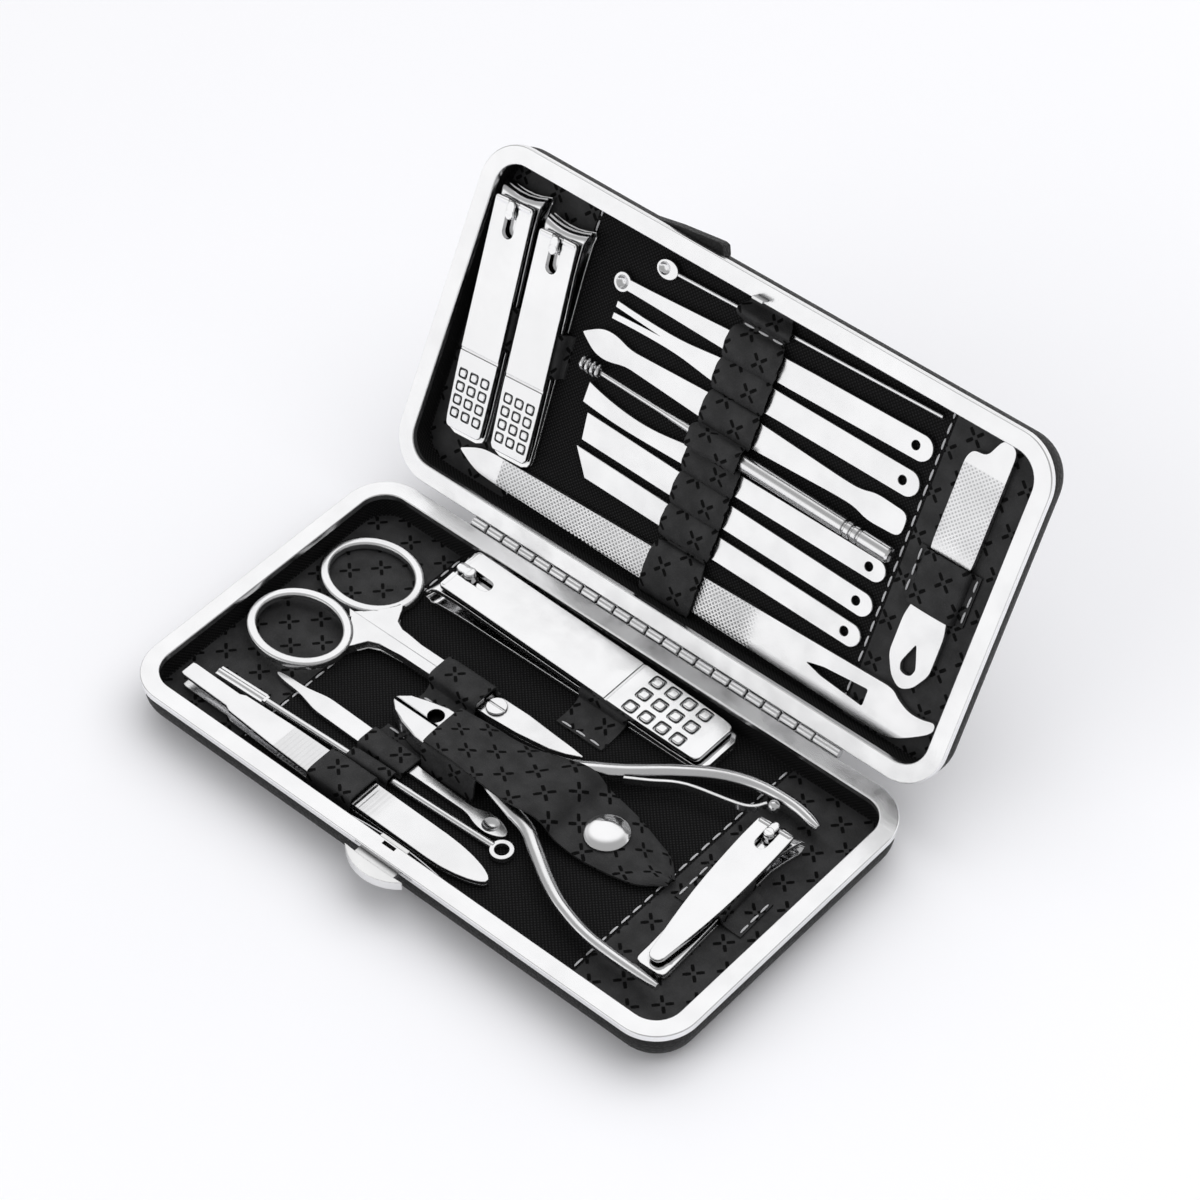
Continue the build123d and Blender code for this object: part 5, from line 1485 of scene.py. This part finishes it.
def makeCoilTool():
    bm = bmesh.new()
    radius, end, turns = coil["radius"], coil["reach"], coil["turns"]
    profile = [(0.6, 0), (radius - 0.4, 0), (radius, 0.5), (radius, 7.9)]
    sunk = radius - 0.38
    for at in coil["grooves"]:
        profile += [(radius, at - 0.45), (sunk, at - 0.25), (sunk, at + 0.25), (radius, at + 0.45)]
    profile += [(radius, 42.5), (radius * 0.9, 43.6), (radius * 0.75, 44.2)]
    profile += [(0.8, 62.0), (0.62, 66.0), (0.55, end - 0.6)]
    turnProfile(bm, profile, 24, shift(0, 0, radius) @ turned(90, "Y"))
    steps = coil["steps"]
    spine = []
    for step in range(steps + 1):
        angle = math.tau * turns * step / steps
        reach = coil["coil"] * min(1, 0.45 + step / 8, 0.6 + (steps - step) / 12)
        x = end - 1.4 + turns * coil["pitch"] * step / steps
        spine.append(Vector((x, reach * math.cos(angle), radius + reach * math.sin(angle))))
    wire = ovalSection(coil["wire"], coil["wire"], 8, 2.0)
    rows = []
    for index, point in enumerate(spine):
        ahead = (spine[min(index + 1, steps)] - spine[max(index - 1, 0)]).normalized()
        outward = (point - Vector((point.x, 0, radius))).normalized()
        side = ahead.cross(outward).normalized()
        rows.append([point + outward * a + side * b for a, b in wire])
    capEnds(bm, skinOver(bm, rows, True))
    finishShape("coil_extractor", bm, "toolSteel", places["coil_extractor"], "coil_extractor", crease=36)


makeCoilTool()
for tray in trays:
    makeStitches(tray)
print("small tools and stitches made")

# camera
view = {"lens": 112.611, "fromHinge": (0.3757, -0.4269, 0.6235), "degrees": (42.80368, 0.8291, 41.41136)}
camera = bpy.data.cameras.new("camera")
camera.sensor_width = 36.0
camera.lens = view["lens"]
camera.clip_start = 0.01
camera.clip_end = 20.0
eye = bpy.data.objects.new("camera", camera)
scene.collection.objects.link(eye)
place = Vector((0, hingeAt.y, hingeAt.z)) + Vector(view["fromHinge"])
eye.matrix_world = Matrix.LocRotScale(place, Euler([math.radians(angle) for angle in view["degrees"]]), None)
scene.camera = eye

# studio: a bright field for the polished faces to answer, darker overhead and at the right
studio = {
    "bright": 1.06,
    "dark": 0.42,
    "patches": [  # bright directions, and the cosines from each at which it is brightest and has faded out
        ((-0.457, 0.503, 0.734), 0.93, 0.80),
        ((-0.457, -0.888, 0.037), 0.93, 0.78),
        ((0.2, 0.95, 0.2), 0.9, 0.7),
    ],
    "floorHalf": 6.0,
    "floorLevel": -0.0002,
    "fade": (0.22, 0.6),  # the floor fades into the plain background over this distance
    "lamps": [
        {"name": "keyLamp", "at": (0.25, 0.3, 1.0), "size": 1.2, "power": 6.2},
        {"name": "fillLamp", "at": (-0.3, -0.9, 0.6), "size": 0.9, "power": 2.6},
    ],
}
white = (1, 1, 1, 1)


def makeSky():
    world = bpy.data.worlds.new("studio")
    world.use_nodes = True
    sky, background = world.node_tree, world.node_tree.nodes["Background"].inputs
    direction = addNode(sky, "ShaderNodeTexCoord").outputs["Generated"]
    glow = None
    for towards, near, far in studio["patches"]:
        links = [(0, direction), (1, towards)]
        match = addNode(sky, "ShaderNodeVectorMath", links, operation="DOT_PRODUCT").outputs["Value"]
        patch = ramp(sky, match, far, near)
        glow = calc(sky, "MAXIMUM", glow, patch) if glow else patch
    seen = calc(sky, "MULTIPLY_ADD", glow, studio["bright"] - studio["dark"], studio["dark"])
    seen = calc(sky, "MAXIMUM", seen, addNode(sky, "ShaderNodeLightPath").outputs["Is Camera Ray"])
    sky.links.new(seen, background["Strength"])
    background["Color"].default_value = white
    return world


def makeLamp(lamp):
    data = bpy.data.lights.new(lamp["name"], "AREA")
    data.energy = lamp["power"]
    data.size = lamp["size"]
    light = bpy.data.objects.new(lamp["name"], data)
    scene.collection.objects.link(light)
    light.visible_glossy = False
    light.location = lamp["at"]
    light.rotation_mode = "QUATERNION"
    light.rotation_quaternion = (-Vector(lamp["at"])).to_track_quat("-Z", "Y")


def makeFloor():
    looks["floor"] = makeGrainy("paleFloor", 0.93, 0.96, 3.0, 0.9)
    paper = looks["floor"].node_tree
    where = addNode(paper, "ShaderNodeNewGeometry").outputs["Position"]
    away = addNode(paper, "ShaderNodeVectorMath", [(0, where)], operation="LENGTH").outputs["Value"]
    path = addNode(paper, "ShaderNodeLightPath").outputs
    seen = calc(paper, "MAXIMUM", path["Is Camera Ray"], path["Is Glossy Ray"])
    fade = calc(paper, "MULTIPLY", ramp(paper, away, *studio["fade"]), seen)
    plain = addNode(paper, "ShaderNodeEmission", [("Color", white), ("Strength", 1.0)]).outputs[0]
    links = [(0, fade), (1, paper.nodes["Principled BSDF"].outputs[0]), (2, plain)]
    both = addNode(paper, "ShaderNodeMixShader", links).outputs[0]
    paper.links.new(both, paper.nodes["Material Output"].inputs["Surface"])
    bm = bmesh.new()
    bmesh.ops.create_grid(bm, x_segments=4, y_segments=4, size=studio["floorHalf"])
    lay = shift(0, 0, studio["floorLevel"])
    return finishPiece("studio_floor", bm, "floor", lay, None, closed=False)


scene.view_settings.view_transform = "Standard"
scene.world = makeSky()
for lamp in studio["lamps"]:
    makeLamp(lamp)
makeFloor()
print("studio made")
